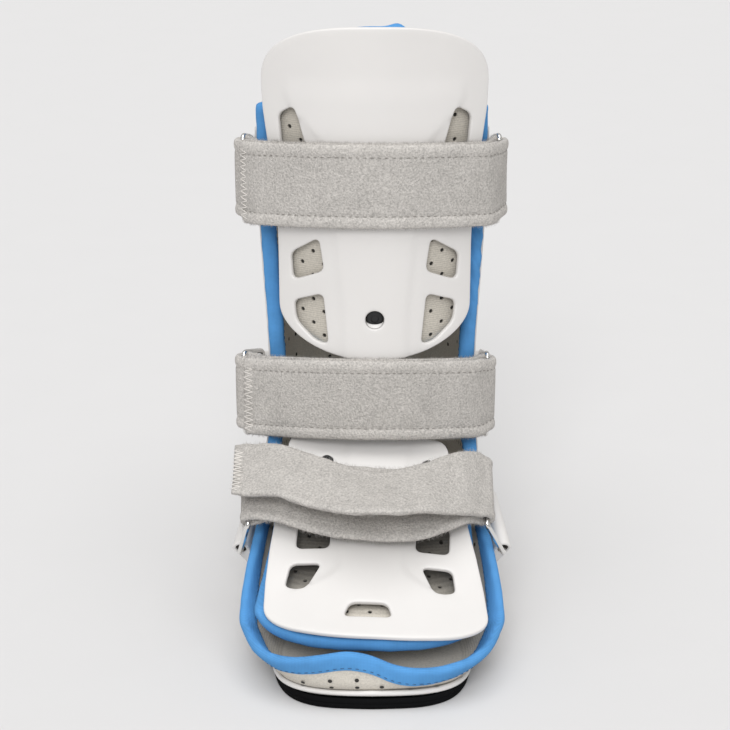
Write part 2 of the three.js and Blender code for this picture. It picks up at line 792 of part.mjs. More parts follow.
function strapSolid(strap) {
  const line = strapLine(strap).map((spot) => {
    const { w, tilt, rise } = strap.skew(spot.layer, spot.x);
    const place = towards(towards(strap.origin, strap.out, spot.n + rise), strap.wide, w);
    place.x += spot.x;
    const wide = strap.wide.clone().multiplyScalar(Math.cos(tilt)).addScaledVector(strap.out, Math.sin(tilt));
    return { place, wide };
  });
  const sections = line.map(({ place, wide }, k) => {
    const before = line[Math.max(k - 1, 0)].place;
    const after = line[Math.min(k + 1, line.length - 1)].place;
    const thick = after.clone().sub(before).cross(wide).normalize();
    const side = (a) => towards(place, wide, (a * STRAP_WIDTH) / 2);
    const corner = (a, b) => towards(side(a), thick, (b * STRAP_WALL) / 2);
    return [corner(-1, -1), corner(1, -1), corner(1, 1), corner(-1, 1)];
  });
  return sweep(sections, false);
}

function legKit(row) {
  const low = row.z - row.drop;
  const bar = (x, y, z, length) => [-1, 1].map((way) => at(x, y, z + (way * length) / 2));
  const lugLow = low - row.lug_drop;
  const lugs = SIDES.map(({ side, sign }) => ({
    name: `${row.name}_ring_${side}`,
    axis: bar(sign * row.lug_x, row.lug_y, lugLow, LUG_LENGTH),
    web: at(-sign * 4, 12, 0),
    bars: {
      lug: bar(sign * row.lug_x, row.lug_y, lugLow, BAR_LENGTH),
      strap: bar(row[`${side}_x`], row[`${side}_y`], low, BAR_LENGTH),
    },
  }));
  const strap = {
    name: `${row.name}_strap`,
    origin: at(0, 0, row.z),
    out: at(0, -1, 0),
    wide: at(0, 0, 1),
    shoulder: row.shoulder,
    crown: (x) => -shinSurface(x - SHIN.shift_x, row.z + STRAP_WIDTH / 2).y,
    left: V2(row.left_x, -row.left_y),
    right: V2(row.right_x, -row.right_y),
    end: row.end,
    skew: (layer, x) => {
      const share = layer === 'wrap' ? 1 : Math.min(Math.abs(x / row.right_x), 1);
      return { w: -row.drop * share ** 2, tilt: 0, rise: 0 };
    },
  };
  return { lugs, strap };
}

function instepSkew(layer, x) {
  const share = Math.min(Math.abs(x / INSTEP_STRAP.right_x), 1);
  const bar = rad(INSTEP_STRAP.bar_tilt);
  const w = lerp(INSTEP_STRAP.middle_w, INSTEP_STRAP.bar_w, share ** 2);
  const under = lerp(rad(INSTEP_STRAP.under_tilt), bar, share ** 2);
  if (layer === 'wrap') {
    return { w: INSTEP_STRAP.bar_w, tilt: bar, rise: 0 };
  }
  if (layer === 'under') {
    const sag = Math.exp(-(((x - INSTEP_STRAP.sag_x) / INSTEP_STRAP.slump_reach) ** 2));
    return { w: w - INSTEP_STRAP.sag * sag, tilt: under, rise: 0 };
  }
  const loose = 1 - THREE.MathUtils.smoothstep(x, 25, INSTEP_STRAP.right_x);
  const slump = Math.exp(-(((x - INSTEP_STRAP.slump_x) / INSTEP_STRAP.slump_reach) ** 2));
  const lay = lerp(under, rad(INSTEP_STRAP.outer_tilt), loose);
  const tilt = lay + rad(INSTEP_STRAP.slump_tilt) * slump;
  const rise = (STRAP_WIDTH / 2) * Math.sin(under - tilt);
  const lift = INSTEP_STRAP.end_lift * THREE.MathUtils.clamp(-x / INSTEP_STRAP.lift_x, 0, 1) ** 1.3;
  return { w: w + lift - INSTEP_STRAP.slump * slump, tilt, rise };
}

function instepKit() {
  const s = INSTEP_STRAP;
  const wide = at(0, Math.cos(rad(s.tilt)), Math.sin(rad(s.tilt)));
  const out = at(0, -Math.sin(rad(s.tilt)), Math.cos(rad(s.tilt)));
  const origin = at(...s.origin);
  const middle = towards(towards(origin, out, s.bar_n), wide, s.bar_w);
  const lean = rad(s.tilt + s.bar_tilt);
  const barRun = at(0, Math.cos(lean), Math.sin(lean));
  const ends = (centre, run, length) => [-1, 1].map((way) => towards(centre, run, (way * length) / 2));
  const lugs = SIDES.map(({ side, sign }) => {
    const flip = ([x, y, z]) => at(sign * x, y, z);
    const front = flip(INSTEP_LUG.front);
    const rear = flip(INSTEP_LUG.rear);
    const run = rear.clone().sub(front).normalize();
    const lugMiddle = front.clone().lerp(rear, 0.5);
    const barMiddle = middle.clone();
    barMiddle.x = s[`${side}_x`];
    return {
      name: `instep_ring_${side}`,
      axis: [front, rear],
      web: flip(INSTEP_LUG.web),
      bars: { lug: ends(lugMiddle, run, BAR_LENGTH), strap: ends(barMiddle, barRun, BAR_LENGTH) },
    };
  });
  const strap = {
    name: 'instep_strap',
    origin,
    out,
    wide,
    shoulder: s.shoulder,
    crown: (x) => s.crown - INSTEP.arch * (x / INSTEP.arch_x) ** 2,
    left: V2(s.left_x, s.bar_n),
    right: V2(s.right_x, s.bar_n),
    end: s.end,
    skew: instepSkew,
  };
  return { lugs, strap };
}

const KITS = [...LEG_STRAPS.map(legKit), instepKit()];

function shellSolid() {
  let shell = block(bootWall(SHELL_TOP, SHELL_STEPS + 1, GAP + SHELL_WALL, GAP));
  const lugs = KITS.flatMap((kit) => kit.lugs).map(lugBlocks);
  lugs.forEach(({ body }) => {
    shell = shell.add(body);
  });
  const inside = block(bootWall(SHELL_TOP, SHELL_STEPS + 1, GAP, -LINER_WALL));
  shell = shell.subtract(inside);
  lugs.forEach(({ bore }) => {
    shell = shell.subtract(bore);
  });
  return shapeOf(shell);
}

const group = new THREE.Group();
group.position.y = CENTRE_Y;

function piece(name, geometry, look) {
  const mesh = new THREE.Mesh(geometry, new THREE.MeshStandardMaterial(MATERIALS[look]));
  mesh.name = name;
  group.add(mesh);
}

piece('back_shell', shellSolid(), 'white');
piece('sole', soleSolid(), 'black');
piece('liner', bootWall(0, BOOT_EDGE + 1, 0, -LINER_WALL), 'grey');
piece('liner_binding', bootTape(), 'blue');

const shinFrame = frameAt(at(SHIN.shift_x, 0, 0), at(1, 0, 0), at(0, 0, 1));
const shinCuts = SHIN_WINDOWS.flatMap((points) => [points, mirrored(points)]);
const shinBack = -PLATE_WALL - PAD_GAP;
piece('shin_plate', plateSolid('shin', SHIN_ROWS, shinCuts, shinFrame, 0), 'white');
const shinPadFront = shinBack - TAPE - TAPE_GAP;
const shinPadRows = [shinSurface, SHIN_PAD_ROWS, PAD_COLUMNS, shinPadFront];
piece('shin_pad', panel(...shinPadRows, shinPadFront - SHIN_PAD_WALL), 'grey');
piece('shin_pad_binding', panelTape(...shinPadRows, SHIN_PAD_WALL, SHIN_TAPE_WIDTH), 'blue');

const middleUp = instepSurface(0, INSTEP_MIDDLE + 1).sub(instepSurface(0, INSTEP_MIDDLE - 1)).normalize();
const middleOut = normalOn(instepSurface, 0, INSTEP_MIDDLE);
const instepFrame = frameAt(instepSurface(0, INSTEP_MIDDLE), middleUp.clone().cross(middleOut), middleUp);
const instepCuts = [...INSTEP_WINDOWS.flatMap((points) => [points, mirrored(points)]), INSTEP_FRONT_WINDOW];
piece('instep_plate', plateSolid('instep', INSTEP_ROWS, instepCuts, instepFrame, INSTEP_MIDDLE), 'white');
const padFront = shinPadFront;
const padRows = [instepPadSurface, INSTEP_PAD_ROWS, PAD_COLUMNS, padFront];
piece('instep_pad', panel(...padRows, padFront - INSTEP_PAD_WALL), 'grey');
piece('instep_pad_binding', panelTape(...padRows, INSTEP_PAD_WALL, TAPE_WIDTH), 'blue');
RIVETS.forEach((rivet) => piece(rivet.name, rivetSolid(rivet), 'black'));
KITS.forEach(({ strap, lugs }) => {
  piece(strap.name, strapSolid(strap), 'strap');
  lugs.forEach((lug) => piece(lug.name, ringSolid(lug.bars), 'chrome'));
});

export default group;
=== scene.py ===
"""Night splint for heel pain: the fine surface of every piece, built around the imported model."""

import math

import bmesh
import bpy
import numpy as np
from bpy.props import FloatProperty, FloatVectorProperty, PointerProperty
from bpy.types import Operator, Panel, PropertyGroup
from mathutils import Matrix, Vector
from mathutils.geometry import delaunay_2d_cdt


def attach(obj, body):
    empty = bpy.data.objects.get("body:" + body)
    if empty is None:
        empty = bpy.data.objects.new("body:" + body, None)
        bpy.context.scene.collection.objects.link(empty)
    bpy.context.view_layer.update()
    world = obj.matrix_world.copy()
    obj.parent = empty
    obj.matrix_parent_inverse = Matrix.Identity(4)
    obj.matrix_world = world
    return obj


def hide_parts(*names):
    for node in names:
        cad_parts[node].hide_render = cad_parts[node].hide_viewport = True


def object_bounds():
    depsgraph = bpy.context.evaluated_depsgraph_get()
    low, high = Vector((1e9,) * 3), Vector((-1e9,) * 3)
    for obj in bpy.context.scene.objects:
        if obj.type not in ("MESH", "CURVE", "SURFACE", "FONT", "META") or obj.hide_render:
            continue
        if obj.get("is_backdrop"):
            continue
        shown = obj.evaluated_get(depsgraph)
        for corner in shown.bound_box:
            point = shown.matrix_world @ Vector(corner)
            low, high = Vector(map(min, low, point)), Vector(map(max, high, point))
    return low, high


bl_info = {
    "name": "Night Splint",
    "version": (1, 0, 0),
    "blender": (4, 5, 0),
    "location": "View3D > Sidebar > Splint",
    "description": "Builds a night splint with its padding, bindings, straps and rings",
    "category": "Object",
}

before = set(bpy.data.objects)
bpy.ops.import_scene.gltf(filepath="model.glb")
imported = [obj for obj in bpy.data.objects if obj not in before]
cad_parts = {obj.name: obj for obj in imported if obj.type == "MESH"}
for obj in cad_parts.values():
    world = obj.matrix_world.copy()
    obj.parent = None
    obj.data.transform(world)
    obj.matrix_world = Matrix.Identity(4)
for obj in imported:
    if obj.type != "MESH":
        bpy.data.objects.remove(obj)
CAD_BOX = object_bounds()

# Sizes are millimetres. The toe points to -Y, and CENTRE_Y moves the middle of the length to the origin.
MM = 0.001
CENTRE_Y = 2.6

# Irregular waves: how much finer and lower each next one is, and what brings their sum to about 1
WAVES = {"finer": 1.7, "lower": 1.5, "whole": 1.9}
# Triangles of a filled area: rows as a share of the spacing, and the room that is left along its edges
FILL = {"row": 0.866, "margin": 0.6}

# Cross sections of the liner's outer face, from the calf down round the heel to the toe
STATION_COLUMNS = (
    "spine_y", "spine_z", "rim_y", "rim_z", "half_width", "corner_width", "corner_depth", "flare", "trim",
)
STATIONS = np.array([
    (122, 316, 24, 290, 62, 62, 60, 0, 12),
    (122, 268, 24, 250, 61.5, 61.5, 60, 0, 12),
    (121, 214, 23, 204, 59.5, 59.5, 58, 0, 12),
    (118, 168, 23, 163, 57, 57, 56, 0, 12),
    (116, 130, 22, 134, 55.5, 55.5, 55, 0, 12),
    (116, 102, 22, 112, 54.5, 54, 54, 1, 13),
    (118, 74, 15.5, 96.5, 55, 51, 52, 3, 13),
    (117, 46, 6, 85.5, 53, 44, 45, 6, 12),
    (106, 22, -5, 76, 50, 34, 36, 9, 12),
    (84, 10, -14, 68, 49, 24, 26, 12, 12),
    (56, 8.6, -23, 61.5, 50, 18, 18, 14, 12),
    (28, 8.6, -33, 56, 52, 15, 15, 14, 13),
    (0, 8.6, -43, 48.5, 54, 14, 14, 14, 14),
    (-14, 8.6, -49, 44.8, 55, 14, 14, 14, 25),
    (-28, 8.6, -55, 40, 56, 14, 14, 14, 36),
    (-54, 8.6, -68, 31, 57, 14, 14, 14, 29),
    (-79, 8.6, -79, 24, 57, 13, 13, 14, 24),
], float)
TOE = {"reach": 50, "roundness": 3.1, "corner_width": 7, "corner_depth": 9, "flare": -2, "trim": 18,
       "rim_z": 27.5, "turn_power": 0.7}
# Heights of the wavy toe rim: turn in degrees, left, right
TOE_RIM = np.array([
    (0, 24, 24), (15, 22, 22), (30, 21.5, 21), (45, 23.5, 20), (60, 27, 19.5), (75, 30, 21.5),
    (90, 27.5, 27.5),
], float)
# The top edge sags between the shoulders of the rim and the middle of the back
TOP_SAG = {"depth": 22, "high_z": 316, "low_z": 230}
RIB_CORNER = {"power": 0.9, "most_of_depth": 0.85, "points": 41}
RIB_WALL_POINTS = 12
RIB_STEP = 3.0
TOE_STEP = 3.0
SHELL_WALL = 3.0
SHELL_GAP = 0.3
SHELL_TOP = 12.0
LINER_WALL = 5.0
LINER_INSET = 2.0
LINER_COLUMNS = 56
SHELL_COLUMNS = 44
# The liner's edge is pressed in along the foot, not along the leg
EDGE_PINCH = {"depth": 0.9, "from_rim": 7, "to_rim": 16, "full_z": 60, "none_z": 110}

# Right half of the outsole's outline
SOLE_OUTLINE = np.array([
    (0, -129.5), (23, -127.7), (39, -120.8), (48.5, -106.5), (52.5, -88), (53, -68), (50.5, -36),
    (46, 2), (43, 42), (42, 70), (37, 92), (24, 106), (0, 111),
], float)
# The outsole's grooved edge from the ground up: distance in from the outline, height
SOLE_PROFILE = (
    (1.2, 0.0), (0.4, 0.25), (0, 0.9), (0, 2.4), (0.35, 2.8), (0.35, 3.3), (0, 3.7), (0, 5.3), (0.5, 6.2),
    (1.4, 5.4),
)
SOLE_TOP = (5.0, 4.9)
SOLE_NET = 5
SOLE_STEP = 1.5

SHIN = {"shift_x": 1.5, "front_y": -11, "bulge_low": 20, "bulge_high": 15, "low_z": 230, "high_z": 335,
        "bulge_x": 54}
INSTEP = {"front": (-117, 39), "bend": (-46.3, 60.5), "top": (4, 119.5), "arch": 5, "arch_x": 56,
          "twist": 3, "plate_shift": 1.5, "plate_lean": 0.09, "lean_from": 45, "pad_shift": -1,
          "middle": 55}
# Outlines: half widths at heights w, between two rounded ends that are given by their half width, flat
# part, height, bow and squareness
SHIN_OUTLINE = (
    (53.5, 0, 180, 28, 2),
    ((53.6, 200), (53.7, 215), (54, 230), (56, 250), (59, 272), (61.4, 290)),
    (62, 0, 304.5, 33, 2.6),
)
SHIN_PAD_OUTLINE = (
    (51.5, 0, 179, 26.5, 2),
    ((51, 200), (51.5, 225), (54, 255)),
    (56.6, 26, 290, 26, 2),
)
INSTEP_OUTLINE = (
    (60, 6, 20, 24, 2),
    ((59, 38), (56.5, 60), (53, 80), (48.5, 100)),
    (46, 39, 127, 6, 2),
)
INSTEP_PAD_OUTLINE = (
    (60.5, 4, 29, 31, 2),
    ((60.3, 46), (59, 61), (56, 80), (52, 100)),
    (48, 32, 118, 9, 2),
)
SHIN_WINDOWS = (
    ((30.9, 221), (46.8, 210.5), (45.7, 195), (28.1, 202.4)),
    ((28.7, 189.5), (45.2, 183.4), (44.1, 171.5), (33.4, 161.6), (25.8, 160.2)),
    ((43.5, 293.5), (52.7, 288), (50.5, 262), (36, 265)),
)
INSTEP_WINDOWS = (
    ((27, 49), (43.8, 49), (46, 33.5), (35, 31)),
    ((23.5, 77), (41.8, 77), (41.8, 59), (23.5, 59)),
)
INSTEP_FRONT_WINDOW = ((-9.8, 21.5), (9.8, 21.5), (13, 11), (-13, 11))
WINDOW_CORNER = 4.0
# Raised middle bands of the plates
SHIN_BAND = {"half": 17.5, "spread": 4.5, "spread_w": (165, 235), "flare": 26, "flare_w": (262, 300),
             "end_w": (296, 312), "edge": 1.5}
INSTEP_BAND = {"half": 17, "flare": 0.065, "flare_s": 50, "end_x": (28, 50), "edge": 1.8}
PLATE_NET = 2.4
PAD_NET = 2.6
# Rivets: name, plate, x, w, radius of the hole, height of the head
RIVETS = (
    ("shin_rivet_centre", "shin", 0, 176, 5.2, -2.0),
    ("shin_rivet_left", "shin", -43, 232, 3.6, 0.5),
    ("shin_rivet_right", "shin", 43, 232, 3.6, 0.5),
    ("instep_rivet_left", "instep", -28.5, 114.6, 3.6, 0.5),
    ("instep_rivet_right", "instep", 28.5, 114.6, 3.6, 0.5),
)
RIVET_SIDES = 28
RIVET_GAP = 0.4
RIVET_FOOT = 0.3
RIVET_POLE = 0.01
RIVET_DIMPLE = 0.6
# A rivet's head from its side to the dimple: share of the radius, depth below the top
RIVET_HEAD = ((1, 0.9), (0.94, 0.4), (0.7, 0.1), (0.45, 0), (0.4, 0.5))
# The pale washer below a sunk head: where it starts and stops in degrees, how it is pressed flat
WASHER = {"from": 200, "to": 340, "gap": 0.3, "flat": 0.5, "drop": 0.6, "front": -0.2, "rise": 0.7,
          "back": 0.2}
# Pads: their front below the plates' fronts, the sag and the bend back of the instep's, and its part in
# painted shade
PAD_FRONT = -5.3
PAD_INSET = 0.6
PAD_BEVEL = 1.0
PAD_SAG = {"from_s": 22, "to_s": 108, "depth": 9, "power": 1.3}
INSTEP_BEND = {"from_s": 112, "to_s": 130, "depth": 6}
# Painted shade on the instep pad, from none at the front to full towards the ankle
PAD_SHADE = {"from_y": -98, "to_y": -55}
SHIN_PAD_WALL = 6.0
INSTEP_PAD_WALL = 5.0

# Ventilation holes: rows as a share of the pitch, and how many rows and columns are tried each way
HOLE_ROWS = {"rise": 0.54, "rows": 20, "columns": 12}
HOLE_SIDES = 12
HOLE_BEVEL = 0.25
# Dark discs of painted shade in the pads' holes: share of a hole that they fill, and depth below the pad's
# front
HOLE_FIT = 0.98
HOLE_DEPTH = 0.9
# One hole's place on each pad, from which the rows go out
PAD_HOLES = {"shin_pad": (-36.4, 184.1), "instep_pad": (-30, 68)}
# Height of the liner's dark discs of painted shade over its two faces
HOLE_LIFT = 0.05
LINER_HOLES = {"below_rim": 12.0, "first": 3, "steps": 160, "end_ribs": 4, "apart": 0.9, "floor": -0.8}
# Two rows along the toe's rim: distance below the rim, start of the row
TOE_HOLE_ROWS = ((12.5, 0.0), (17.5, 7.5))
TOE_HOLES = {"pitch": 15.0, "before_y": -85}

# Binding tape: a leg in shares of its width and thickness, from its edge to the fold
TAPE_LEG = ((0.985, 0.5), (0.92, 0.7), (0.7, 0.85), (0.4, 1), (0.15, 1))
TAPE_EDGE = 0.15
TAPE_FOLD = {"points": 9, "turn": 75, "reach": 0.93, "flat": 0.62, "back": 0.4}
TAPE_OUTER = 2 * (len(TAPE_LEG) + 1) + TAPE_FOLD["points"]
TAPE_INSIDE = {"gap": 0.05, "back": 1, "out": 0.8, "corner": 0.25}
TAPE_PUCKER = {"pitch": 23, "height": 0.21, "first_seed": 3, "points": 6}
LINER_TAPE = 1.85
PAD_TAPE = 1.4
TAPE_SEAM = 1.5
TAPE_THREAD = 0.3
# Stitches of the tape: height below them, share of the tape's thickness on which they lie, tone
TAPE_STITCH = {"base": 0.3, "lies_at": 0.85, "tone": 0.45}
RIM_STEP = 2.0
# The tape drops along the top edge with one peak in it, and is creased on the right
TOP_PEAK = {"above_z": 250, "from_y": 55, "to_y": 90, "x": 16, "reach": 6, "height": 3.4, "drop": 2.8}
TAPE_CREASE = {"z": 208, "reach": 30, "pitch": 11, "slant": 1.8, "rise": 0.5, "shift": 0.7, "seed": 9}

# Straps: how they lie on the plates and rings, then their hems, stitch lines, ends and loose fibres
STRAP_GAP = 0.6
WIRE_GAP = 0.3
TAIL = 12.0
BAR_LENGTH = 49.0
RING_SLIP = 1.2
STRAP_HALF = 23.25
STRAP_STEP = 1.6
STRAP_HEM = {"height": 0.45, "inset": 3.6, "reach": 2.4}
STRAP_SEAM = {"inset": 7, "reach": 0.7, "fade": 0.4, "lift": 0.32, "radius": 0.22, "from_share": 0.53}
SEWN_GROOVE = 0.45
PLAIN_GROOVE = 0.1
STRAP_PINCH = {"least": 0.35, "reach": 1.2}
STRAP_SWAY = {"sewn": 0.25, "plain": 0.7, "pitch": 41, "seed": 7, "across": 9, "along": 19}
STRAP_GATHER = {"share": 0.06, "full": 2, "none": 7}
ZIGZAG = {"step": 1.7, "near": 1.4, "far": 6.8, "margin": 1.5, "lift": 0.12, "radius": 0.3, "spare": 0.8,
          "tone": 1.5}
FUZZ = {"apart": 0.16, "radius": 0.07, "inset": 0.35, "spread": 0.6, "sewn": 1.7, "plain": 2.3,
        "not_gathered": 0.97, "depth": 0.3}
# Rings and lugs, and the places of both for each strap
RING_CORNER = 4.0
RING_STEP = 1.2
WIRE_SIDES = 14
LUG = {"length": 40, "radius": 4.6, "bore": 3.1, "web": 1.5, "chamfer": 0.5, "mouth": 1.15,
       "step": 0.8}
# A lug's web, from the tube to the shell: added half width, share of the way down
LUG_WEB = ((1.2, 0.72), (2.4, 1))
# Dark sleeve of painted shade in each lug's bore: inner radius, depth in from the mouths, gap to the bore,
# sides
BORE_SHADE = {"radius": 1.9, "depth": 1.2, "gap": 0.05, "sides": 20}
LEG_STRAPS = {
    "calf": {"z": 252.5, "shoulder": 61, "lug": (68.2, 46), "left": (-71.5, 28), "right": (70.5, 28),
             "drop": 5, "lug_drop": 6, "end": 0.55},
    "ankle": {"z": 131, "shoulder": 54, "lug": (63.2, 46), "left": (-73, 22.6), "right": (65.5, 19.5),
              "drop": 8, "lug_drop": 8, "end": 0.75},
}
LEG_WEB = (-4, 12, 0)
INSTEP_STRAP = {
    "origin": (0, -38.4, 79.6), "tilt": 30, "shoulder": 48, "crown": 7.5, "left_x": -68, "right_x": 63,
    "bar_n": -6, "bar_w": 12.9, "middle_w": -8, "bar_tilt": -2, "under_tilt": 6, "outer_tilt": -14,
    "slump": 5, "slump_tilt": -10, "slump_x": 5, "slump_reach": 24, "sag": 3, "sag_x": 28, "loose_x": 25,
    "end_lift": 8, "lift_x": 72, "lift_power": 1.3, "end": 1.25,
}
INSTEP_LUG = {"front": (73, -35, 50), "rear": (66.3, 1, 67.5), "web": (-7, 2, -14)}
SIDES = (("left", -1), ("right", 1))

# Camera: what the picture of 730 pixels a side needs
PICTURE = 730
CAMERA = {"target": (0, 0, 165), "distance": 1200, "elevation": 18, "focal_pixels": 2160,
          "centre_pixels": (372, 333), "sensor": 36, "nearest": 50}
# Lights: name, strength, spread and turns in degrees
LIGHTS = (
    ("front_light", 1.45, 25, (55, 0, -5)),
    ("top_light", 1.6, 60, (12, 0, 0)),
)
SKY = {"colour": (1, 0.995, 0.99, 1), "strength": 0.5}
# Half a side of the floor, in metres
FLOOR_HALF = 8


def length_value(name, description, default):
    """A length in metres that a user would change."""
    return FloatProperty(name=name, description=description, default=default, unit="LENGTH")


def colour_value(name, description, default):
    """A colour in linear values that a user would change."""
    return FloatVectorProperty(name=name, description=description, subtype="COLOR", default=default)


class SplintSizes(PropertyGroup):
    """Sizes that a user would change."""
    plate_wall: length_value("Plate wall", "Thickness of the two front plates", 0.003)
    plate_bevel: length_value("Plate bevel", "Rounding of the plates' edges", 0.0011)
    band_height: length_value("Band height", "Height of the raised middle band of the plates", 0.0009)
    tape_width: length_value("Tape width", "Width of each leg of the binding tape", 0.0074)
    shin_tape_width: length_value("Shin tape width", "Width of the tape's legs on the shin pad", 0.0014)
    strap_width: length_value("Strap width", "Width of the straps", 0.0465)
    strap_wall: length_value("Strap wall", "Thickness of the straps", 0.0028)
    wire_radius: length_value("Wire radius", "Radius of the rings' wire", 0.0015)
    hole_pitch: length_value("Hole pitch", "Distance between the rows of ventilation holes", 0.0127)
    hole_radius: length_value("Hole radius", "Radius of the ventilation holes", 0.00115)
    stitch_length: length_value("Stitch length", "Length of one stitch", 0.0022)
    stitch_pitch: length_value("Stitch pitch", "Distance from stitch to stitch", 0.0039)


class SplintColours(PropertyGroup):
    """Colours that a user would change."""
    plastic: colour_value("Plastic", "Shell and plates", (0.69, 0.673, 0.657))
    padding: colour_value("Padding", "Cloth of the two pads", (0.52, 0.487, 0.43))
    lining: colour_value("Lining", "Cloth of the boot's liner", (0.57, 0.535, 0.475))
    tape: colour_value("Tape", "Binding tape", (0.089, 0.283, 0.585))
    strap: colour_value("Strap", "Pile of the straps", (0.49, 0.468, 0.442))
    thread: colour_value("Thread", "Stitches of the straps", (0.23, 0.215, 0.195))
    wire: colour_value("Wire", "Plated rings", (0.78, 0.77, 0.75))
    rubber: colour_value("Rubber", "Outsole and rivets", (0.005, 0.005, 0.0055))
    floor: colour_value("Floor", "Floor of the studio", (0.645, 0.64, 0.64))


# Numbers along lines


def smooth(places, values, wanted):
    """Values between tabled places on a curve that never overshoots."""
    places, values = np.asarray(places, float), np.asarray(values, float)
    flat = values.ndim == 1
    values = values[:, None] if flat else values
    slope = np.diff(values, axis=0) / np.diff(places)[:, None]
    before, after = slope[:-1], slope[1:]
    same = before * after > 0
    inner = np.where(same, 2 * before * after / np.where(same, before + after, 1), 0)
    tangent = np.concatenate([slope[:1], inner, slope[-1:]])
    wanted = np.clip(np.asarray(wanted, float), places[0], places[-1])
    k = np.clip(np.searchsorted(places, wanted, side="right") - 1, 0, len(places) - 2)
    width = (places[k + 1] - places[k])[:, None]
    t = ((wanted - places[k])[:, None]) / width
    made = ((1 + 2 * t) * (1 - t) ** 2 * values[k] + t * (1 - t) ** 2 * width * tangent[k]
            + t ** 2 * (3 - 2 * t) * values[k + 1] + t ** 2 * (t - 1) * width * tangent[k + 1])
    return made[:, 0] if flat else made


def lengths(line):
    """Distance along a line of points, from its first point."""
    return np.concatenate([[0], np.cumsum(np.linalg.norm(np.diff(line, axis=0), axis=1))])


def linear(places, table, wanted):
    """Rows of a table at wanted places, on straight lines between its rows."""
    return np.stack([np.interp(wanted, places, column) for column in table.T], axis=-1)


def spaced(line, step, closed=False):
    """The line again with points about step apart."""
    line = np.concatenate([line, line[:1]]) if closed else line
    run = lengths(line)
    count = max(int(round(run[-1] / step)), 2)
    wanted = np.linspace(0, run[-1], count + 1)
    made = linear(run, line, wanted)
    return made[:-1] if closed else made


def unit(vectors):
    """Vectors of length one."""
    return vectors / np.maximum(np.linalg.norm(vectors, axis=-1, keepdims=True), 1e-9)


def heading(loop):
    """Directions along a closed run of points."""
    return unit(np.roll(loop, -1, axis=0) - np.roll(loop, 1, axis=0))


def soften(values, reach):
    """A closed run of values, averaged over its neighbours."""
    weights = np.hanning(2 * reach + 3)[1:-1]
    weights /= weights.sum()
    made = np.zeros_like(values)
    for shift, weight in zip(range(-reach, reach + 1), weights):
        made += weight * np.roll(values, shift, axis=0)
    return made


def step_up(low, high, values):
    """Smooth step from 0 at low to 1 at high."""
    t = np.clip((values - low) / (high - low), 0, 1)
    return t * t * (3 - 2 * t)


def waves(values, pitch, seed, octaves=3):
    """Irregular smooth waves between about -1 and 1 along a run, the same each time."""
    draw = np.random.default_rng(seed)
    made = np.zeros_like(values)
    for k in range(octaves):
        phase, detune = draw.uniform(0, 2 * math.pi), draw.uniform(0.8, 1.25)
        turn = values * 2 * math.pi * detune * WAVES["finer"] ** k / pitch + phase
        made += np.sin(turn) / WAVES["lower"] ** k
    return made / WAVES["whole"]


# Meshes


class Skin:
    """Corner points and faces of one piece."""

    def __init__(self):
        self.points = []
        self.faces = []
        self.border = []
        self.count = 0

    def cells(self, points, faces, border=0.0):
        """Adds faces that index the given points, which lie more or less in a border of another tone, or,
        on the instep pad, in painted shade.
        """
        self.points.append(np.asarray(points, float).reshape(-1, 3))
        self.border.append(np.broadcast_to(np.ravel(border), len(self.points[-1])))
        self.faces.extend([[self.count + k for k in face] for face in faces])
        self.count += len(self.points[-1])

    def grid(self, points, close_rows=False, close_columns=False, border=0.0):
        """Adds a grid of quads over points[row, column]."""
        index = np.arange(points.shape[0] * points.shape[1]).reshape(points.shape[:2])
        if close_rows:
            index = np.concatenate([index, index[:1]], axis=0)
        if close_columns:
            index = np.concatenate([index, index[:, :1]], axis=1)
        quads = np.stack([index[:-1, :-1], index[1:, :-1], index[1:, 1:], index[:-1, 1:]], axis=-1)
        self.cells(points, quads.reshape(-1, 4).tolist(), border)

    def piece(self, name, material, crease=50):
        """Welds the faces into one object whose faces point outwards."""
        points = (np.concatenate(self.points) + (0, CENTRE_Y, 0)) * MM
        mesh = bpy.data.meshes.new(name)
        mesh.from_pydata(points.tolist(), [], self.faces)
        border = np.concatenate(self.border)
        if border.any():
            layer = mesh.attributes.new("border", "FLOAT", "POINT")
            layer.data.foreach_set("value", border.astype(np.float32))
        work = bmesh.new()
        work.from_mesh(mesh)
        bmesh.ops.remove_doubles(work, verts=work.verts, dist=2e-6)
        bmesh.ops.dissolve_degenerate(work, edges=work.edges, dist=1e-6)
        bmesh.ops.recalc_face_normals(work, faces=work.faces)
        work.to_mesh(mesh)
        work.free()
        mesh.shade_smooth()
        mesh.set_sharp_from_angle(angle=math.radians(crease))
        mesh.materials.append(material)
        made = bpy.data.objects.new(name, mesh)
        bpy.context.scene.collection.objects.link(made)
        return made


def settle(piece, slot, *nodes):
    """Fixes a finished piece to the splint's one body in the place of its nodes."""
    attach(piece, "root")
    if nodes:
        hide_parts(*nodes)
    return piece


def tube(skin, centres, radius, sides):
    """Round wire along a closed line of centres."""
    count = len(centres)
    flat = unit(np.cross(centres[count // 3] - centres[0], centres[2 * count // 3] - centres[0]))
    side = unit(np.cross(heading(centres), flat))
    turn = np.linspace(0, 2 * math.pi, sides, endpoint=False)
    around = np.cos(turn)[:, None] * side[:, None] + np.sin(turn)[:, None] * flat
    skin.grid(centres[:, None] + radius * around, close_rows=True, close_columns=True)


# Boot: ribs from the spine to the rim


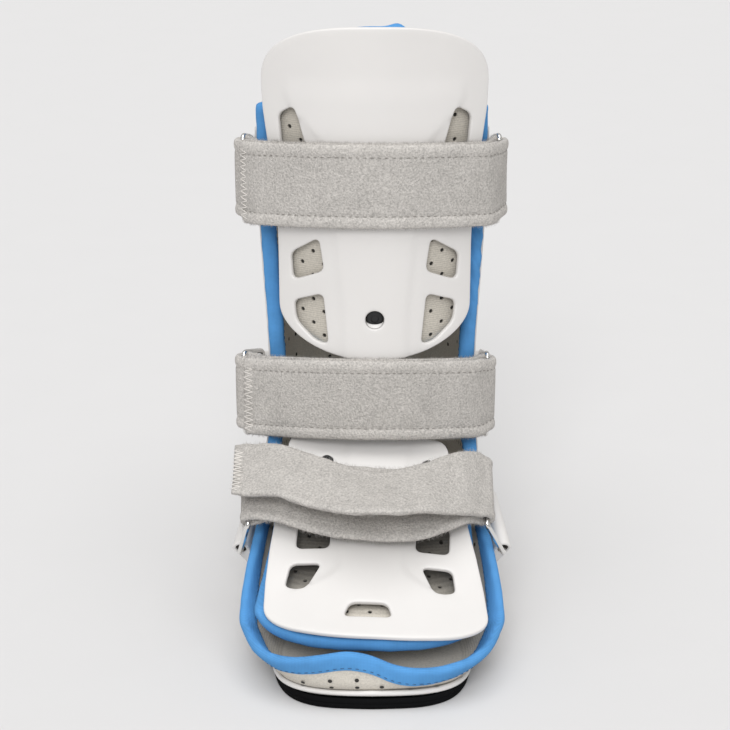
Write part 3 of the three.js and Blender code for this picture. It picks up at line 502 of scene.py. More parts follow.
def rib_line(rib):
    """Half a cross section: flat floor, rounded corner and a wall that flares out."""
    turn = np.linspace(0, math.pi / 2, RIB_CORNER["points"])
    corner = min(rib["corner_depth"], RIB_CORNER["most_of_depth"] * rib["depth"])
    flat = rib["half_width"] - rib["corner_width"]
    bend = flat + rib["corner_width"] * np.sin(turn) ** RIB_CORNER["power"]
    lift = corner * (1 - np.abs(np.cos(turn)) ** RIB_CORNER["power"])
    wall = np.linspace(corner, rib["depth"], RIB_WALL_POINTS + 1)[1:]
    out = np.concatenate([[0], bend, np.full(RIB_WALL_POINTS, rib["half_width"])])
    up = np.concatenate([[0], lift, wall])
    out = out + rib["flare"] * (up / rib["depth"]) ** 2
    line = rib["spine"] + out[:, None] * rib["out"] + up[:, None] * rib["up"]
    line[:, 2] -= 4 * rib["sag"] * (up / rib["depth"]) * (1 - up / rib["depth"])
    return line


def station_ribs(side):
    """Ribs of one side from the calf to the ball of the foot."""
    middle = (STATIONS[:, 0:2] + STATIONS[:, 2:4]) / 2
    run = lengths(middle)
    wanted = np.linspace(0, run[-1], int(run[-1] / RIB_STEP) + 1)
    ribs = []
    for row in smooth(run, STATIONS, wanted):
        rib = dict(zip(STATION_COLUMNS, row))
        spine = np.array((0, rib["spine_y"], rib["spine_z"]))
        up = np.array((0, rib["rim_y"], rib["rim_z"])) - spine
        sag = TOP_SAG["depth"] * float(step_up(TOP_SAG["low_z"], TOP_SAG["high_z"], rib["spine_z"]))
        rib.update(spine=spine, depth=np.linalg.norm(up), up=unit(up), out=np.array((side, 0, 0)), sag=sag)
        ribs.append(rib)
    return ribs


def toe_ribs(side):
    """Ribs of one side that turn round the front end of the spine."""
    last = dict(zip(STATION_COLUMNS, STATIONS[-1]))
    turns = np.arange(TOE_STEP, 90 + TOE_STEP / 2, TOE_STEP)
    rims = smooth(TOE_RIM[:, 0], TOE_RIM[:, 1 if side < 0 else 2], turns)
    ribs = []
    for degrees, rim in zip(turns, rims):
        turn, share = math.radians(degrees), (degrees / 90) ** TOE["turn_power"]
        wide = abs(math.cos(turn) / last["half_width"]) ** TOE["roundness"]
        far = abs(math.sin(turn) / TOE["reach"]) ** TOE["roundness"]
        rib = {name: last[name] + (TOE[name] - last[name]) * share
               for name in ("corner_width", "corner_depth", "flare", "trim")}
        rib["trim"] += rim - (last["rim_z"] + (TOE["rim_z"] - last["rim_z"]) * share)
        rib.update(spine=np.array((0, last["spine_y"], last["spine_z"])), up=np.array((0, 0, 1)),
                   out=np.array((side * math.cos(turn), -math.sin(turn), 0)), depth=rim - last["spine_z"],
                   half_width=(wide + far) ** (-1 / TOE["roundness"]), sag=0.0)
        ribs.append(rib)
    return ribs


def boot_ribs():
    """All ribs in one run: down the left side, round the toe and up the right side."""
    return station_ribs(-1) + toe_ribs(-1) + toe_ribs(1)[-2::-1] + station_ribs(1)[::-1]


def boot_grid(ribs, columns, short):
    """Points on each rib, evenly spaced up to a given distance from the rim, and their outward normals."""
    rows = []
    for rib in ribs:
        line = rib_line(rib)
        run = lengths(line)
        wanted = np.linspace(0, run[-1] - short(rib), columns)
        rows.append(linear(run, line, wanted))
    grid = np.array(rows)
    normal = np.cross(np.gradient(grid, axis=0), np.gradient(grid, axis=1))
    normal[:, 0, 0] = 0
    small = np.linalg.norm(normal, axis=-1) < 1e-9
    normal[small] = (0, 0, -1)
    return grid, unit(normal)


def rounded_wall(grid, normal, outside, inside, steps=5):
    """Wall between two offsets of a grid, with half round edges at its rim and both ends."""
    skin = Skin()
    outside, inside = (np.broadcast_to(side, grid.shape[:2])[..., None] for side in (outside, inside))
    half = (outside - inside) / 2
    middle = grid + normal * (outside + inside) / 2
    turns = np.linspace(0, math.pi, steps + 2)

    def edge(row, outward):
        places, normals, reach = middle[row], normal[row], half[row]
        arc = [places + reach * (math.cos(t) * normals + math.sin(t) * outward) for t in turns]
        return np.stack(arc, axis=1)

    rim = edge(np.s_[:, -1], unit(grid[:, -1] - grid[:, -2]))
    first = edge(np.s_[0], unit(grid[0] - grid[1]))
    last = edge(np.s_[-1], unit(grid[-1] - grid[-2]))
    skin.grid(grid + normal * outside)
    skin.grid(grid + normal * inside)
    for strip in (rim, first, last):
        skin.grid(strip)
    skin.grid(np.stack([rim[0], first[-1]]))
    skin.grid(np.stack([rim[-1], last[-1]]))
    return skin


# Front plates and pads: outlines over curved surfaces


def shin_surface(x, z):
    """Front of the shin plate."""
    share = np.clip((z - SHIN["low_z"]) / (SHIN["high_z"] - SHIN["low_z"]), 0, 1)
    bulge = SHIN["bulge_low"] + (SHIN["bulge_high"] - SHIN["bulge_low"]) * share
    y = SHIN["front_y"] + bulge * (x / SHIN["bulge_x"]) ** 2
    return np.stack([x + SHIN["shift_x"], y, z + 0 * x], axis=-1)


def instep_profile():
    """Side view of the instep plate as points, directions and distances along it."""
    t = np.linspace(0, 1, 201)[:, None]
    front, bend, top = (np.array(INSTEP[name], float) for name in ("front", "bend", "top"))
    line = (1 - t) ** 2 * front + 2 * t * (1 - t) * bend + t ** 2 * top
    return line, unit(np.gradient(line, axis=0)), lengths(line)


PROFILE, PROFILE_RUN, PROFILE_LENGTH = instep_profile()


def instep_surface(x0, s0):
    """Front of the instep plate: x across and s up its slope."""
    turn = -math.radians(INSTEP["twist"])
    lift = s0 - INSTEP["middle"]
    x = x0 * math.cos(turn) - lift * math.sin(turn)
    s = x0 * math.sin(turn) + lift * math.cos(turn) + INSTEP["middle"]
    inside = np.clip(s, 0, PROFILE_LENGTH[-1])
    place = linear(PROFILE_LENGTH, PROFILE, inside)
    run = linear(PROFILE_LENGTH, PROFILE_RUN, inside)
    over = s - inside
    drop = INSTEP["arch"] * (x / INSTEP["arch_x"]) ** 2
    return np.stack([x, place[..., 0] + run[..., 0] * over + run[..., 1] * drop,
                     place[..., 1] + run[..., 1] * over - run[..., 0] * drop], axis=-1)


def instep_bend(s):
    """How far the top of the instep plate and its pad bend back behind the ankle strap."""
    return INSTEP_BEND["depth"] * step_up(INSTEP_BEND["from_s"], INSTEP_BEND["to_s"], s)


def instep_pad_surface(x, s):
    """The instep pad lies a little to the left of its plate and sags away from it between its ends."""
    spots = np.stack(np.broadcast_arrays(x + INSTEP["pad_shift"], s), axis=-1)
    share = np.clip((spots[..., 1] - PAD_SAG["from_s"]) / (PAD_SAG["to_s"] - PAD_SAG["from_s"]), 0, 1)
    sag = PAD_SAG["depth"] * np.sin(math.pi * share) ** PAD_SAG["power"] + instep_bend(spots[..., 1])
    return lift_on(instep_surface, spots, -sag)[0]


SURFACES = {"shin": shin_surface, "instep": instep_surface}


def lift_on(surface, spots, height):
    """Points at a height above a surface, and the surface's normals there."""
    x, w = spots[..., 0], spots[..., 1]
    e = 0.05
    normal = unit(np.cross(surface(x + e, w) - surface(x - e, w), surface(x, w + e) - surface(x, w - e)))
    return surface(x, w) + normal * np.asarray(height)[..., None], normal


def outline_loop(low, sides, high, step=1.5):
    """Closed outline, anticlockwise, with rounded ends."""
    def bow(end, sign):
        half, flat, w, reach, square = end
        turn = np.radians(np.linspace(0, 90, 25))
        along, up = np.sin(turn) ** (2 / square), np.cos(turn).clip(0) ** (2 / square)
        return np.stack([flat + (half - flat) * along, w + sign * reach * up], axis=1)
    right = np.concatenate([bow(low, -1), np.array(sides, float), bow(high, 1)[::-1]])
    left = right[::-1] * (-1, 1)
    loop = spaced(np.concatenate([right, left]), step, closed=True)
    return soften(loop, 2)


def window_loop(corners, step=0.8):
    """Closed window with rounded corners, clockwise, so that the plate lies on its left."""
    corners = np.array(corners, float)
    middle = corners.mean(axis=0)
    turn = np.arctan2(corners[:, 1] - middle[1], corners[:, 0] - middle[0])
    corners = corners[np.argsort(-turn)]
    points = []
    for k, corner in enumerate(corners):
        start = corner + unit(corners[k - 1] - corner) * WINDOW_CORNER
        end = corner + unit(corners[(k + 1) % len(corners)] - corner) * WINDOW_CORNER
        t = np.linspace(0, 1, 9)[:, None]
        points.append((1 - t) ** 2 * start + 2 * t * (1 - t) * corner + t ** 2 * end)
    return spaced(np.concatenate(points), step, closed=True)


def circle_loop(centre, radius, count):
    """Round hole, clockwise."""
    turn = -np.linspace(0, 2 * math.pi, count, endpoint=False)
    return np.asarray(centre) + radius * np.stack([np.cos(turn), np.sin(turn)], axis=1)


def mirrored(corners):
    """The window of the other side."""
    return tuple((-x, w) for x, w in corners)


def within(spots, loop):
    """Which spots lie inside a loop."""
    inside = np.zeros(len(spots), bool)
    for (x0, y0), (x1, y1) in zip(loop, np.roll(loop, -1, axis=0)):
        crosses = (y0 > spots[:, 1]) != (y1 > spots[:, 1])
        at = x0 + (spots[:, 1] - y0) * (x1 - x0) / ((y1 - y0) or 1e-12)
        inside ^= crosses & (spots[:, 0] < at)
    return inside


def inset(loop, distance):
    """A loop moved into the material on its left."""
    ahead = heading(loop)
    return loop + distance * np.stack([-ahead[:, 1], ahead[:, 0]], axis=1)


def filled(loops, spacing):
    """Triangles over the area between an outline and its holes, with an even net of inner points."""
    outline, holes = loops[0], loops[1:]
    low, high = outline.min(axis=0), outline.max(axis=0)
    rows = np.arange(low[1], high[1], spacing * FILL["row"])
    net = []
    for k, w in enumerate(rows):
        x = np.arange(low[0] + (k % 2) * spacing / 2, high[0], spacing)
        net.append(np.stack([x, np.full_like(x, w)], axis=1))
    net = np.concatenate(net)
    keep = within(net, outline)
    for hole in holes:
        keep &= ~within(net, hole)
    net = net[keep]
    border = np.concatenate(loops)
    near = np.array([np.min(np.sum((border - spot) ** 2, axis=1)) for spot in net])
    net = net[near > (FILL["margin"] * spacing) ** 2]
    edges, start = [], 0
    for loop in loops:
        edges += [(start + k, start + (k + 1) % len(loop)) for k in range(len(loop))]
        start += len(loop)
    spots = [Vector(p) for p in np.concatenate([border, net])]
    places, _, faces, *_ = delaunay_2d_cdt(spots, edges, [], 0, 1e-7)
    places = np.array([tuple(p) for p in places])
    middles = np.array([places[list(face)].mean(axis=0) for face in faces])
    keep = within(middles, outline)
    for hole in holes:
        keep &= ~within(middles, hole)
    return places, [list(face) for face, kept in zip(faces, keep) if kept]


def panel(surface, loops, front, back, bevel, spacing, raised=None, hole_bevel=None):
    """Plate or pad over a curved surface, with rounded edges along its outline and holes."""
    skin = Skin()
    raise_by = raised if raised else (lambda spots: np.zeros(len(spots)))
    bevels = [bevel] + [bevel if hole_bevel is None else hole_bevel] * (len(loops) - 1)
    turns = np.radians((0, 22, 45, 67, 90))
    for loop, radius in zip(loops, bevels):
        levels = [(radius * (1 - math.cos(t)), front - radius * (1 - math.sin(t))) for t in turns]
        levels = [(move, back + front - height) for move, height in levels[::-1]] + levels
        rows = []
        for move, height in levels:
            spots = inset(loop, move)
            rows.append(lift_on(surface, spots, height + raise_by(spots))[0])
        skin.grid(np.array(rows), close_columns=True)
    edges = [inset(loop, radius) for loop, radius in zip(loops, bevels)]
    spots, faces = filled(edges, spacing)
    for height in (front, back):
        skin.cells(lift_on(surface, spots, height + raise_by(spots))[0], faces)
    return skin


def hole_spots(loop, pitch, margin, origin):
    """Centres of ventilation holes in offset rows inside a loop; one of them lies on the origin."""
    rise = HOLE_ROWS["rise"] * pitch
    rows, columns = HOLE_ROWS["rows"], HOLE_ROWS["columns"]
    spots = np.array([(origin[0] + (m + k % 2 / 2) * pitch, origin[1] + k * rise)
                      for k in range(-rows, rows + 1) for m in range(-columns, columns + 1)])
    return spots[within(spots, inset(loop, margin))]


# Binding tape


def tape_profile(wall, width, thick):
    """Folded tape in its own section: r outwards past the rim, n out of the front face."""
    leg = [(-width, TAPE_EDGE)] + [(-along * width, up * thick) for along, up in TAPE_LEG]
    turns = np.radians(np.linspace(TAPE_FOLD["turn"], -TAPE_FOLD["turn"], TAPE_FOLD["points"]))
    reach = wall / 2 + TAPE_FOLD["reach"] * thick
    fold = [(TAPE_FOLD["flat"] * reach * math.cos(t) - TAPE_FOLD["back"], -wall / 2 + reach * math.sin(t))
            for t in turns]
    back = [(r, -wall - n) for r, n in leg[::-1]]
    gap = TAPE_INSIDE["gap"]
    inside = [(TAPE_INSIDE["out"], -TAPE_INSIDE["corner"] * wall), (-TAPE_INSIDE["back"], gap),
              (-width, gap)]
    inside_back = [(r, -wall - n) for r, n in inside[::-1]]
    return np.array(leg + fold + back + inside_back + inside)


def tape_cut(profile, run):
    """Width and length of the flat tape: the outer line of its folded section, and the whole run."""
    return lengths(profile[:TAPE_OUTER])[-1], 2 * run[-1] - run[-2]


def tape_skin(spot, profile, run):
    """Tape round a closed rim: spot places a point of the section for every step of the run."""
    skin = Skin()
    total = 2 * run[-1] - run[-2]
    pitch = total / round(total / TAPE_PUCKER["pitch"])
    rows = []
    for k, (r, n) in enumerate(profile):
        wavy = waves(run, pitch, TAPE_PUCKER["first_seed"] + k // TAPE_PUCKER["points"])
        rows.append(spot(r, n + np.sign(n + LINER_WALL / 2) * TAPE_PUCKER["height"] * wavy))
    skin.grid(np.array(rows).transpose(1, 0, 2), close_rows=True, close_columns=True)
    return skin


# Straps, rings and lugs


def wrap_points(bar, shoulder, side, radius):
    """Half turn round a ring's bar."""
    ahead = unit(shoulder - bar)
    leg = side * np.array((-ahead[1], ahead[0]))
    turn = np.linspace(0, math.pi, 13)[:, None]
    return bar + radius * (leg * np.cos(turn) - ahead * np.sin(turn))


def crown_points(strap, offset):
    """A layer of a strap over the front."""
    x = strap["shoulder"] * np.linspace(-1, 1, 21)
    slope = (strap["crown"](x + 0.05) - strap["crown"](x - 0.05)) / 0.1
    out = unit(np.stack([-slope, np.ones_like(x)], axis=1))
    return np.stack([x, strap["crown"](x)], axis=1) + offset * out


def strap_course(strap, wall, wire):
    """Centreline of a strap as (x, n, layer): tail, left ring, front, right ring and back over itself."""
    lay = STRAP_GAP + wall / 2
    radius = wire + WIRE_GAP + wall / 2
    under, outer = crown_points(strap, lay), crown_points(strap, lay + wall + STRAP_GAP)
    left = wrap_points(strap["left"], under[0], -1, radius)
    right = wrap_points(strap["right"], under[-1], 1, radius)
    tail = left[:1] + TAIL * unit(under[0] - strap["left"])
    beside = strap["left"] + unit(left[-1] - strap["left"]) * (radius + wall + STRAP_GAP)
    end = outer[:1] + strap["end"] * (beside - outer[0])
    parts = ((0, tail), (0, left), (1, under), (0, right), (2, outer[::-1]), (2, end))
    line = np.concatenate([points for _, points in parts])
    layer = np.concatenate([np.full(len(points), mark) for mark, points in parts])
    return line, layer


def strap_frames(strap, wall, wire, step):
    """Places along a strap with its directions across, ahead and out of its first face."""
    line, layer = strap_course(strap, wall, wire)
    skew = np.array([strap["skew"](mark, x) for mark, x in zip(layer, line[:, 0])])
    places = (strap["origin"] + strap["out"] * (line[:, 1] + skew[:, 2])[:, None]
              + strap["wide"] * skew[:, :1] + np.stack([line[:, 0], 0 * layer, 0 * layer], axis=1))
    run = lengths(places)
    wanted = np.linspace(0, run[-1], int(run[-1] / step) + 1)
    made = smooth(run, np.concatenate([places, skew[:, 1:2], layer[:, None]], axis=1), wanted)
    place, tilt = made[:, :3], made[:, 3:4]
    wide = strap["wide"] * np.cos(tilt) + strap["out"] * np.sin(tilt)
    ahead = unit(np.gradient(place, axis=0))
    return place, wide, ahead, unit(np.cross(ahead, wide)), wanted


def strap_section(width, wall, groove):
    """Closed section: a soft flat band with rolled edges and a shallow groove under each stitch line."""
    half = width / 2
    across = np.linspace(-half + wall / 2, half - wall / 2, 45)
    from_edge = half - np.abs(across)
    hem = STRAP_HEM["height"] * np.exp(-((from_edge - STRAP_HEM["inset"]) / STRAP_HEM["reach"]) ** 2)
    seam = groove * np.exp(-((from_edge - STRAP_SEAM["inset"]) / STRAP_SEAM["reach"]) ** 2)
    face = wall / 2 + hem - seam
    turn = np.radians(np.linspace(60, -60, 5))
    edge = np.stack([half - wall / 2 + wall / 2 * np.cos(turn), wall / 2 * np.sin(turn)], axis=1)
    upper = np.stack([across, face], axis=1)
    return np.concatenate([upper, edge, upper[::-1] * (1, -1), edge[::-1] * (-1, 1)])


def strap_gather(place):
    """How much narrower a strap is where it runs through its rings."""
    x = place[:, 0]
    from_ring = np.minimum(x - x.min(), x.max() - x)
    return 1 - STRAP_GATHER["share"] * step_up(STRAP_GATHER["none"], STRAP_GATHER["full"], from_ring)


def strap_skin(frames, width, wall, sewn):
    """Soft strap along its frames, with pinched ends; a sewn one has two stitch lines and lies flatter."""
    place, wide, _, out, run = frames
    section = strap_section(width, wall, SEWN_GROOVE if sewn else PLAIN_GROOVE)
    from_end = np.minimum(run, run[-1] - run)
    least = STRAP_PINCH["least"]
    pinch = least + (1 - least) * np.sqrt(np.clip(from_end / STRAP_PINCH["reach"], 0, 1))
    loose = STRAP_SWAY["sewn" if sewn else "plain"] * waves(run, STRAP_SWAY["pitch"], STRAP_SWAY["seed"])
    slant = section[:, 0][None, :] / STRAP_SWAY["across"] + run[:, None] / STRAP_SWAY["along"]
    sway = loose[:, None] * np.sin(slant)
    across = section[None, :, :1] * strap_gather(place)[:, None, None]
    rings = (place[:, None] + across * wide[:, None]
             + (section[None, :, 1] * pinch[:, None] + sway)[..., None] * out[:, None])
    skin = Skin()
    seam, fade = width / 2 - STRAP_SEAM["inset"], STRAP_SEAM["fade"]
    border = sewn * step_up(seam - fade, seam + fade, np.abs(section[:, 0]))
    skin.grid(rings, close_columns=True, border=np.broadcast_to(border, rings.shape[:2]))
    count = len(section)
    for ring in (rings[0], rings[-1]):
        skin.cells(ring, [list(range(count))])
    return skin


def leg_kit(name):
    """Strap, rings and lugs of one upright strap."""
    row = LEG_STRAPS[name]
    low = row["z"] - row["drop"]
    lug_low = low - row["lug_drop"]

    def bar(x, y, z, length):
        return np.array([(x, y, z - length / 2), (x, y, z + length / 2)])

    rings, lugs = [], []
    for side, sign in SIDES:
        hinge = bar(sign * row["lug"][0], row["lug"][1], lug_low, BAR_LENGTH)
        rings.append((f"{name}_ring_{side}", hinge, bar(*row[side], low - RING_SLIP, BAR_LENGTH)))
        axis = bar(sign * row["lug"][0], row["lug"][1], lug_low, LUG["length"])
        lugs.append((axis, np.array(LEG_WEB) * (sign, 1, 1)))

    def skew(layer, x):
        share = 1 if layer == 0 else min(abs(x / row["right"][0]), 1)
        return (-row["drop"] * share ** 2, 0, 0)

    def crown(x):
        return -shin_surface(x - SHIN["shift_x"], np.full_like(x, row["z"] + STRAP_HALF))[..., 1]

    strap = {
        "name": f"{name}_strap", "over": "shin_plate", "sewn": True, "shoulder": row["shoulder"],
        "origin": np.array((0, 0, row["z"])), "out": np.array((0, -1, 0)), "wide": np.array((0, 0, 1)),
        "left": np.array(row["left"]) * (1, -1), "right": np.array(row["right"]) * (1, -1),
        "crown": crown, "skew": skew, "end": row["end"],
    }
    return strap, rings, lugs


def instep_skew(layer, x):
    """How the slanting strap shifts, tilts and rises along its course."""
    s = INSTEP_STRAP
    share = min(abs(x / s["right_x"]), 1) ** 2
    bar = math.radians(s["bar_tilt"])
    under = math.radians(s["under_tilt"]) * (1 - share) + bar * share
    w = s["middle_w"] + (s["bar_w"] - s["middle_w"]) * share
    if layer == 0:
        return (s["bar_w"], bar, 0)
    if layer == 1:
        return (w - s["sag"] * math.exp(-((x - s["sag_x"]) / s["slump_reach"]) ** 2), under, 0)
    loose = 1 - float(step_up(s["loose_x"], s["right_x"], x))
    lifted = s["end_lift"] * min(max(-x / s["lift_x"], 0), 1) ** s["lift_power"]
    slump = math.exp(-((x - s["slump_x"]) / s["slump_reach"]) ** 2)
    tilt = under + (math.radians(s["outer_tilt"]) - under) * loose + math.radians(s["slump_tilt"]) * slump
    return (w + lifted - s["slump"] * slump, tilt, STRAP_HALF * math.sin(under - tilt))


def instep_kit():
    """Strap, rings and lugs of the slanting strap."""
    s = INSTEP_STRAP
    tilt, lean = math.radians(s["tilt"]), math.radians(s["tilt"] + s["bar_tilt"])
    wide = np.array((0, math.cos(tilt), math.sin(tilt)))
    out = np.array((0, -math.sin(tilt), math.cos(tilt)))
    origin = np.array(s["origin"], float)
    middle = origin + out * s["bar_n"] + wide * s["bar_w"]
    bar_run = np.array((0, math.cos(lean), math.sin(lean)))
    rings, lugs = [], []
    for side, sign in SIDES:
        front, rear = (np.array(INSTEP_LUG[end]) * (sign, 1, 1) for end in ("front", "rear"))
        run, centre = unit(rear - front), (front + rear) / 2
        bar_centre = middle + np.array((s[f"{side}_x"], 0, 0))
        halves = np.array((-0.5, 0.5))[:, None] * BAR_LENGTH
        rings.append((f"instep_ring_{side}", centre + halves * run, bar_centre + halves * bar_run))
        lugs.append((np.array((front, rear)), np.array(INSTEP_LUG["web"]) * (sign, 1, 1)))
    strap = {
        "name": "instep_strap", "over": "instep_plate", "sewn": False, "shoulder": s["shoulder"],
        "origin": origin, "out": out, "wide": wide,
        "left": np.array((s["left_x"], s["bar_n"])), "right": np.array((s["right_x"], s["bar_n"])),
        "crown": lambda x: s["crown"] - INSTEP["arch"] * (x / INSTEP["arch_x"]) ** 2,
        "skew": instep_skew, "end": s["end"],
    }
    return strap, rings, lugs


def kits():
    """The three sets of strap, rings and lugs."""
    return [leg_kit("calf"), leg_kit("ankle"), instep_kit()]


def all_lugs():
    """Axis and web of each lug."""
    return [lug for _, _, lugs in kits() for lug in lugs]


def ring_line(hinge, bar):
    """Centreline of a wire ring with rounded corners."""
    corners = np.array([hinge[0], hinge[1], bar[1], bar[0]])
    t = np.linspace(0, 1, 9)[:, None]
    bends = []
    for k, corner in enumerate(corners):
        start = corner + unit(corners[k - 1] - corner) * RING_CORNER
        end = corner + unit(corners[(k + 1) % 4] - corner) * RING_CORNER
        bends.append((1 - t) ** 2 * start + 2 * t * (1 - t) * corner + t ** 2 * end)
    return spaced(np.concatenate(bends), RING_STEP, closed=True)


def lug_skin(axis, web):
    """Bored tube with a web that runs down to the shell behind it."""
    skin = Skin()
    run = unit(axis[1] - axis[0])
    down = web - run * (web @ run)
    reach, up = np.linalg.norm(down), -unit(down)
    across = np.cross(up, run)
    turn = np.linspace(0, math.pi, 21)
    tube_top = LUG["radius"] * np.stack([np.cos(turn), np.sin(turn)], axis=1)
    right = np.array([(LUG["web"] + wider, -way * reach) for wider, way in LUG_WEB])
    foot = np.concatenate([right * (-1, 1), right[::-1]])
    outline = spaced(np.concatenate([tube_top, foot]), LUG["step"], closed=True)
    angle = np.arctan2(outline[:, 1], outline[:, 0])
    bore = LUG["bore"] * np.stack([np.cos(angle), np.sin(angle)], axis=1)
    half, chamfer = LUG["length"] / 2, LUG["chamfer"]
    middle = (axis[0] + axis[1]) / 2
    shrunk = outline - chamfer * unit(outline)
    levels = [(bore, half), (bore * LUG["mouth"], half), (shrunk, half), (outline, half - chamfer)]
    levels += [(ring, -level) for ring, level in levels[::-1]]
    rows = [middle + ring[:, :1] * across + ring[:, 1:] * up + level * run for ring, level in levels]
    skin.grid(np.array(rows), close_rows=True, close_columns=True)
    return skin


def bore_shade_grid(axis, web):
    """Painted shade: a dark sleeve in a lug's bore, from one mouth to the other."""
    run = unit(axis[1] - axis[0])
    side = unit(np.cross(run, web))
    turn = np.linspace(0, 2 * math.pi, BORE_SHADE["sides"], endpoint=False)[:, None]
    spokes = np.cos(turn) * side + np.sin(turn) * np.cross(run, side)
    start, stop = axis[0] + run * BORE_SHADE["depth"], axis[1] - run * BORE_SHADE["depth"]
    wide, narrow = LUG["bore"] - BORE_SHADE["gap"], BORE_SHADE["radius"]
    ends = ((start, wide), (start, narrow), (stop, narrow), (stop, wide))
    return np.array([end + spokes * radius for end, radius in ends])


# Repeats made with geometry nodes


def add_node(tree, kind, **settings):
    """A node with its settings, and values for its inputs where the name is an input's."""
    node = tree.nodes.new(kind)
    for name, value in settings.items():
        label = name.replace("_", " ").title()
        if name in node.bl_rna.properties:
            setattr(node, name, value)
        else:
            node.inputs[label].default_value = value
    return node


def scatter_tree(name, kind):
    """Tree that puts a stitch, a fibre or a dark disc of painted hole shade on every point, turned by the
    point's own directions.
    """
    tree = bpy.data.node_groups.new(name, "GeometryNodeTree")
    for label, way, socket in (
            ("Points", "INPUT", "Geometry"), ("Length", "INPUT", "Float"), ("Radius", "INPUT", "Float"),
            ("Material", "INPUT", "Material"), ("Geometry", "OUTPUT", "Geometry")):
        tree.interface.new_socket(name=label, in_out=way, socket_type=f"NodeSocket{socket}")
    given, result = tree.nodes.new("NodeGroupInput"), tree.nodes.new("NodeGroupOutput")
    link = tree.links.new
    radius, length = given.outputs["Radius"], given.outputs["Length"]
    if kind == "stitch":
        shape = add_node(tree, "GeometryNodeMeshUVSphere", segments=8, rings=5, radius=1.0)
        scale = (math_node(tree, "MULTIPLY", length, 0.5), radius, radius)
    elif kind == "fibre":
        shape = add_node(tree, "GeometryNodeMeshCone", fill_type="NONE", vertices=3, radius_top=0.25,
                         radius_bottom=1.0, depth=1.0)
        scale = (radius, radius, length)
    else:
        shape = add_node(tree, "GeometryNodeMeshCircle", fill_type="NGON", vertices=14, radius=1.0)
        scale = (radius, radius, radius)
    size = tree.nodes.new("ShaderNodeCombineXYZ")
    for axis, value in zip("XYZ", scale):
        link(value, size.inputs[axis])
    scaled = tree.nodes.new("GeometryNodeTransform")
    link(shape.outputs["Mesh"], scaled.inputs["Geometry"])
    link(size.outputs[0], scaled.inputs["Scale"])
    turned = add_node(tree, "FunctionNodeAxesToRotation", primary_axis="Z", secondary_axis="X")
    for attribute, socket in (("outward", "Primary Axis"), ("along", "Secondary Axis")):
        read = tree.nodes.new("GeometryNodeInputNamedAttribute")
        read.data_type = "FLOAT_VECTOR"
        read.inputs["Name"].default_value = attribute
        link(read.outputs["Attribute"], turned.inputs[socket])
    placed = tree.nodes.new("GeometryNodeInstanceOnPoints")
    link(given.outputs["Points"], placed.inputs["Points"])
    link(scaled.outputs["Geometry"], placed.inputs["Instance"])
    link(turned.outputs["Rotation"], placed.inputs["Rotation"])
    real = tree.nodes.new("GeometryNodeRealizeInstances")
    link(placed.outputs["Instances"], real.inputs["Geometry"])
    painted = tree.nodes.new("GeometryNodeSetMaterial")
    link(real.outputs["Geometry"], painted.inputs["Geometry"])
    link(given.outputs["Material"], painted.inputs["Material"])
    link(painted.outputs["Geometry"], result.inputs["Geometry"])
    return tree


def scattered(name, kind, places, along, outward, material, radius, length=0.0):
    """Object with one stitch, fibre or dark disc of painted hole shade at every place."""
    key = f"Splint {kind}"
    tree = bpy.data.node_groups.get(key) or scatter_tree(key, kind)
    mesh = bpy.data.meshes.new(name)
    mesh.from_pydata(((np.asarray(places) + (0, CENTRE_Y, 0)) * MM).tolist(), [], [])
    for label, vectors in (("along", along), ("outward", outward)):
        layer = mesh.attributes.new(label, "FLOAT_VECTOR", "POINT")
        layer.data.foreach_set("vector", np.asarray(vectors, np.float32).ravel())
    made = bpy.data.objects.new(name, mesh)
    bpy.context.scene.collection.objects.link(made)
    modifier = made.modifiers.new("repeat", "NODES")
    modifier.node_group = tree
    sockets = {item.name: item.identifier for item in tree.interface.items_tree if item.in_out == "INPUT"}
    modifier[sockets["Length"]] = length * MM
    modifier[sockets["Radius"]] = radius * MM
    modifier[sockets["Material"]] = material
    bpy.context.view_layer.update()
    final = bpy.data.meshes.new_from_object(made.evaluated_get(bpy.context.evaluated_depsgraph_get()))
    made.modifiers.remove(modifier)
    made.data = final
    final.name = name
    final.shade_smooth()
    return made


def stitch_run(line, outward, pitch):
    """Stitch places along a line, with their directions."""
    run = lengths(line)
    wanted = np.arange(pitch / 2, run[-1], pitch)
    ahead = unit(linear(run, np.gradient(line, run, axis=0), wanted))
    return linear(run, line, wanted), ahead, unit(linear(run, outward, wanted))


# Finishes


def shader_group(name, outputs, inputs):
    """Empty shader node group with named sockets, and its two end nodes."""
    tree = bpy.data.node_groups.new(name, "ShaderNodeTree")
    for label, default in inputs:
        socket = "NodeSocketVector" if label == "Vector" else "NodeSocketFloat"
        made = tree.interface.new_socket(name=label, in_out="INPUT", socket_type=socket)
        if default is not None:
            made.default_value = default
    for label in outputs:
        tree.interface.new_socket(name=label, in_out="OUTPUT", socket_type="NodeSocketFloat")
    return tree, tree.nodes.new("NodeGroupInput"), tree.nodes.new("NodeGroupOutput")


def math_node(tree, operation, first, second):
    """Sum, product or the like of two sockets or numbers."""
    node = add_node(tree, "ShaderNodeMath", operation=operation)
    for slot, value in enumerate((first, second)):
        if isinstance(value, (int, float)):
            node.inputs[slot].default_value = value
        else:
            tree.links.new(value, node.inputs[slot])
    return node.outputs[0]


def shared(tree, first, share, second):
    """A share of one value and the rest of another."""
    parts = ((first, share), (second, 1 - share))
    return math_node(tree, "ADD", *(math_node(tree, "MULTIPLY", value, part) for value, part in parts))


def noise_node(tree, vector, scale, detail, roughness=0.5):
    """Noise value over a vector; scale is a socket or a number."""
    node = add_node(tree, "ShaderNodeTexNoise", detail=detail, roughness=roughness)
    tree.links.new(vector, node.inputs["Vector"])
    if isinstance(scale, (int, float)):
        node.inputs["Scale"].default_value = scale
    else:
        tree.links.new(scale, node.inputs["Scale"])
    return node.outputs[0]


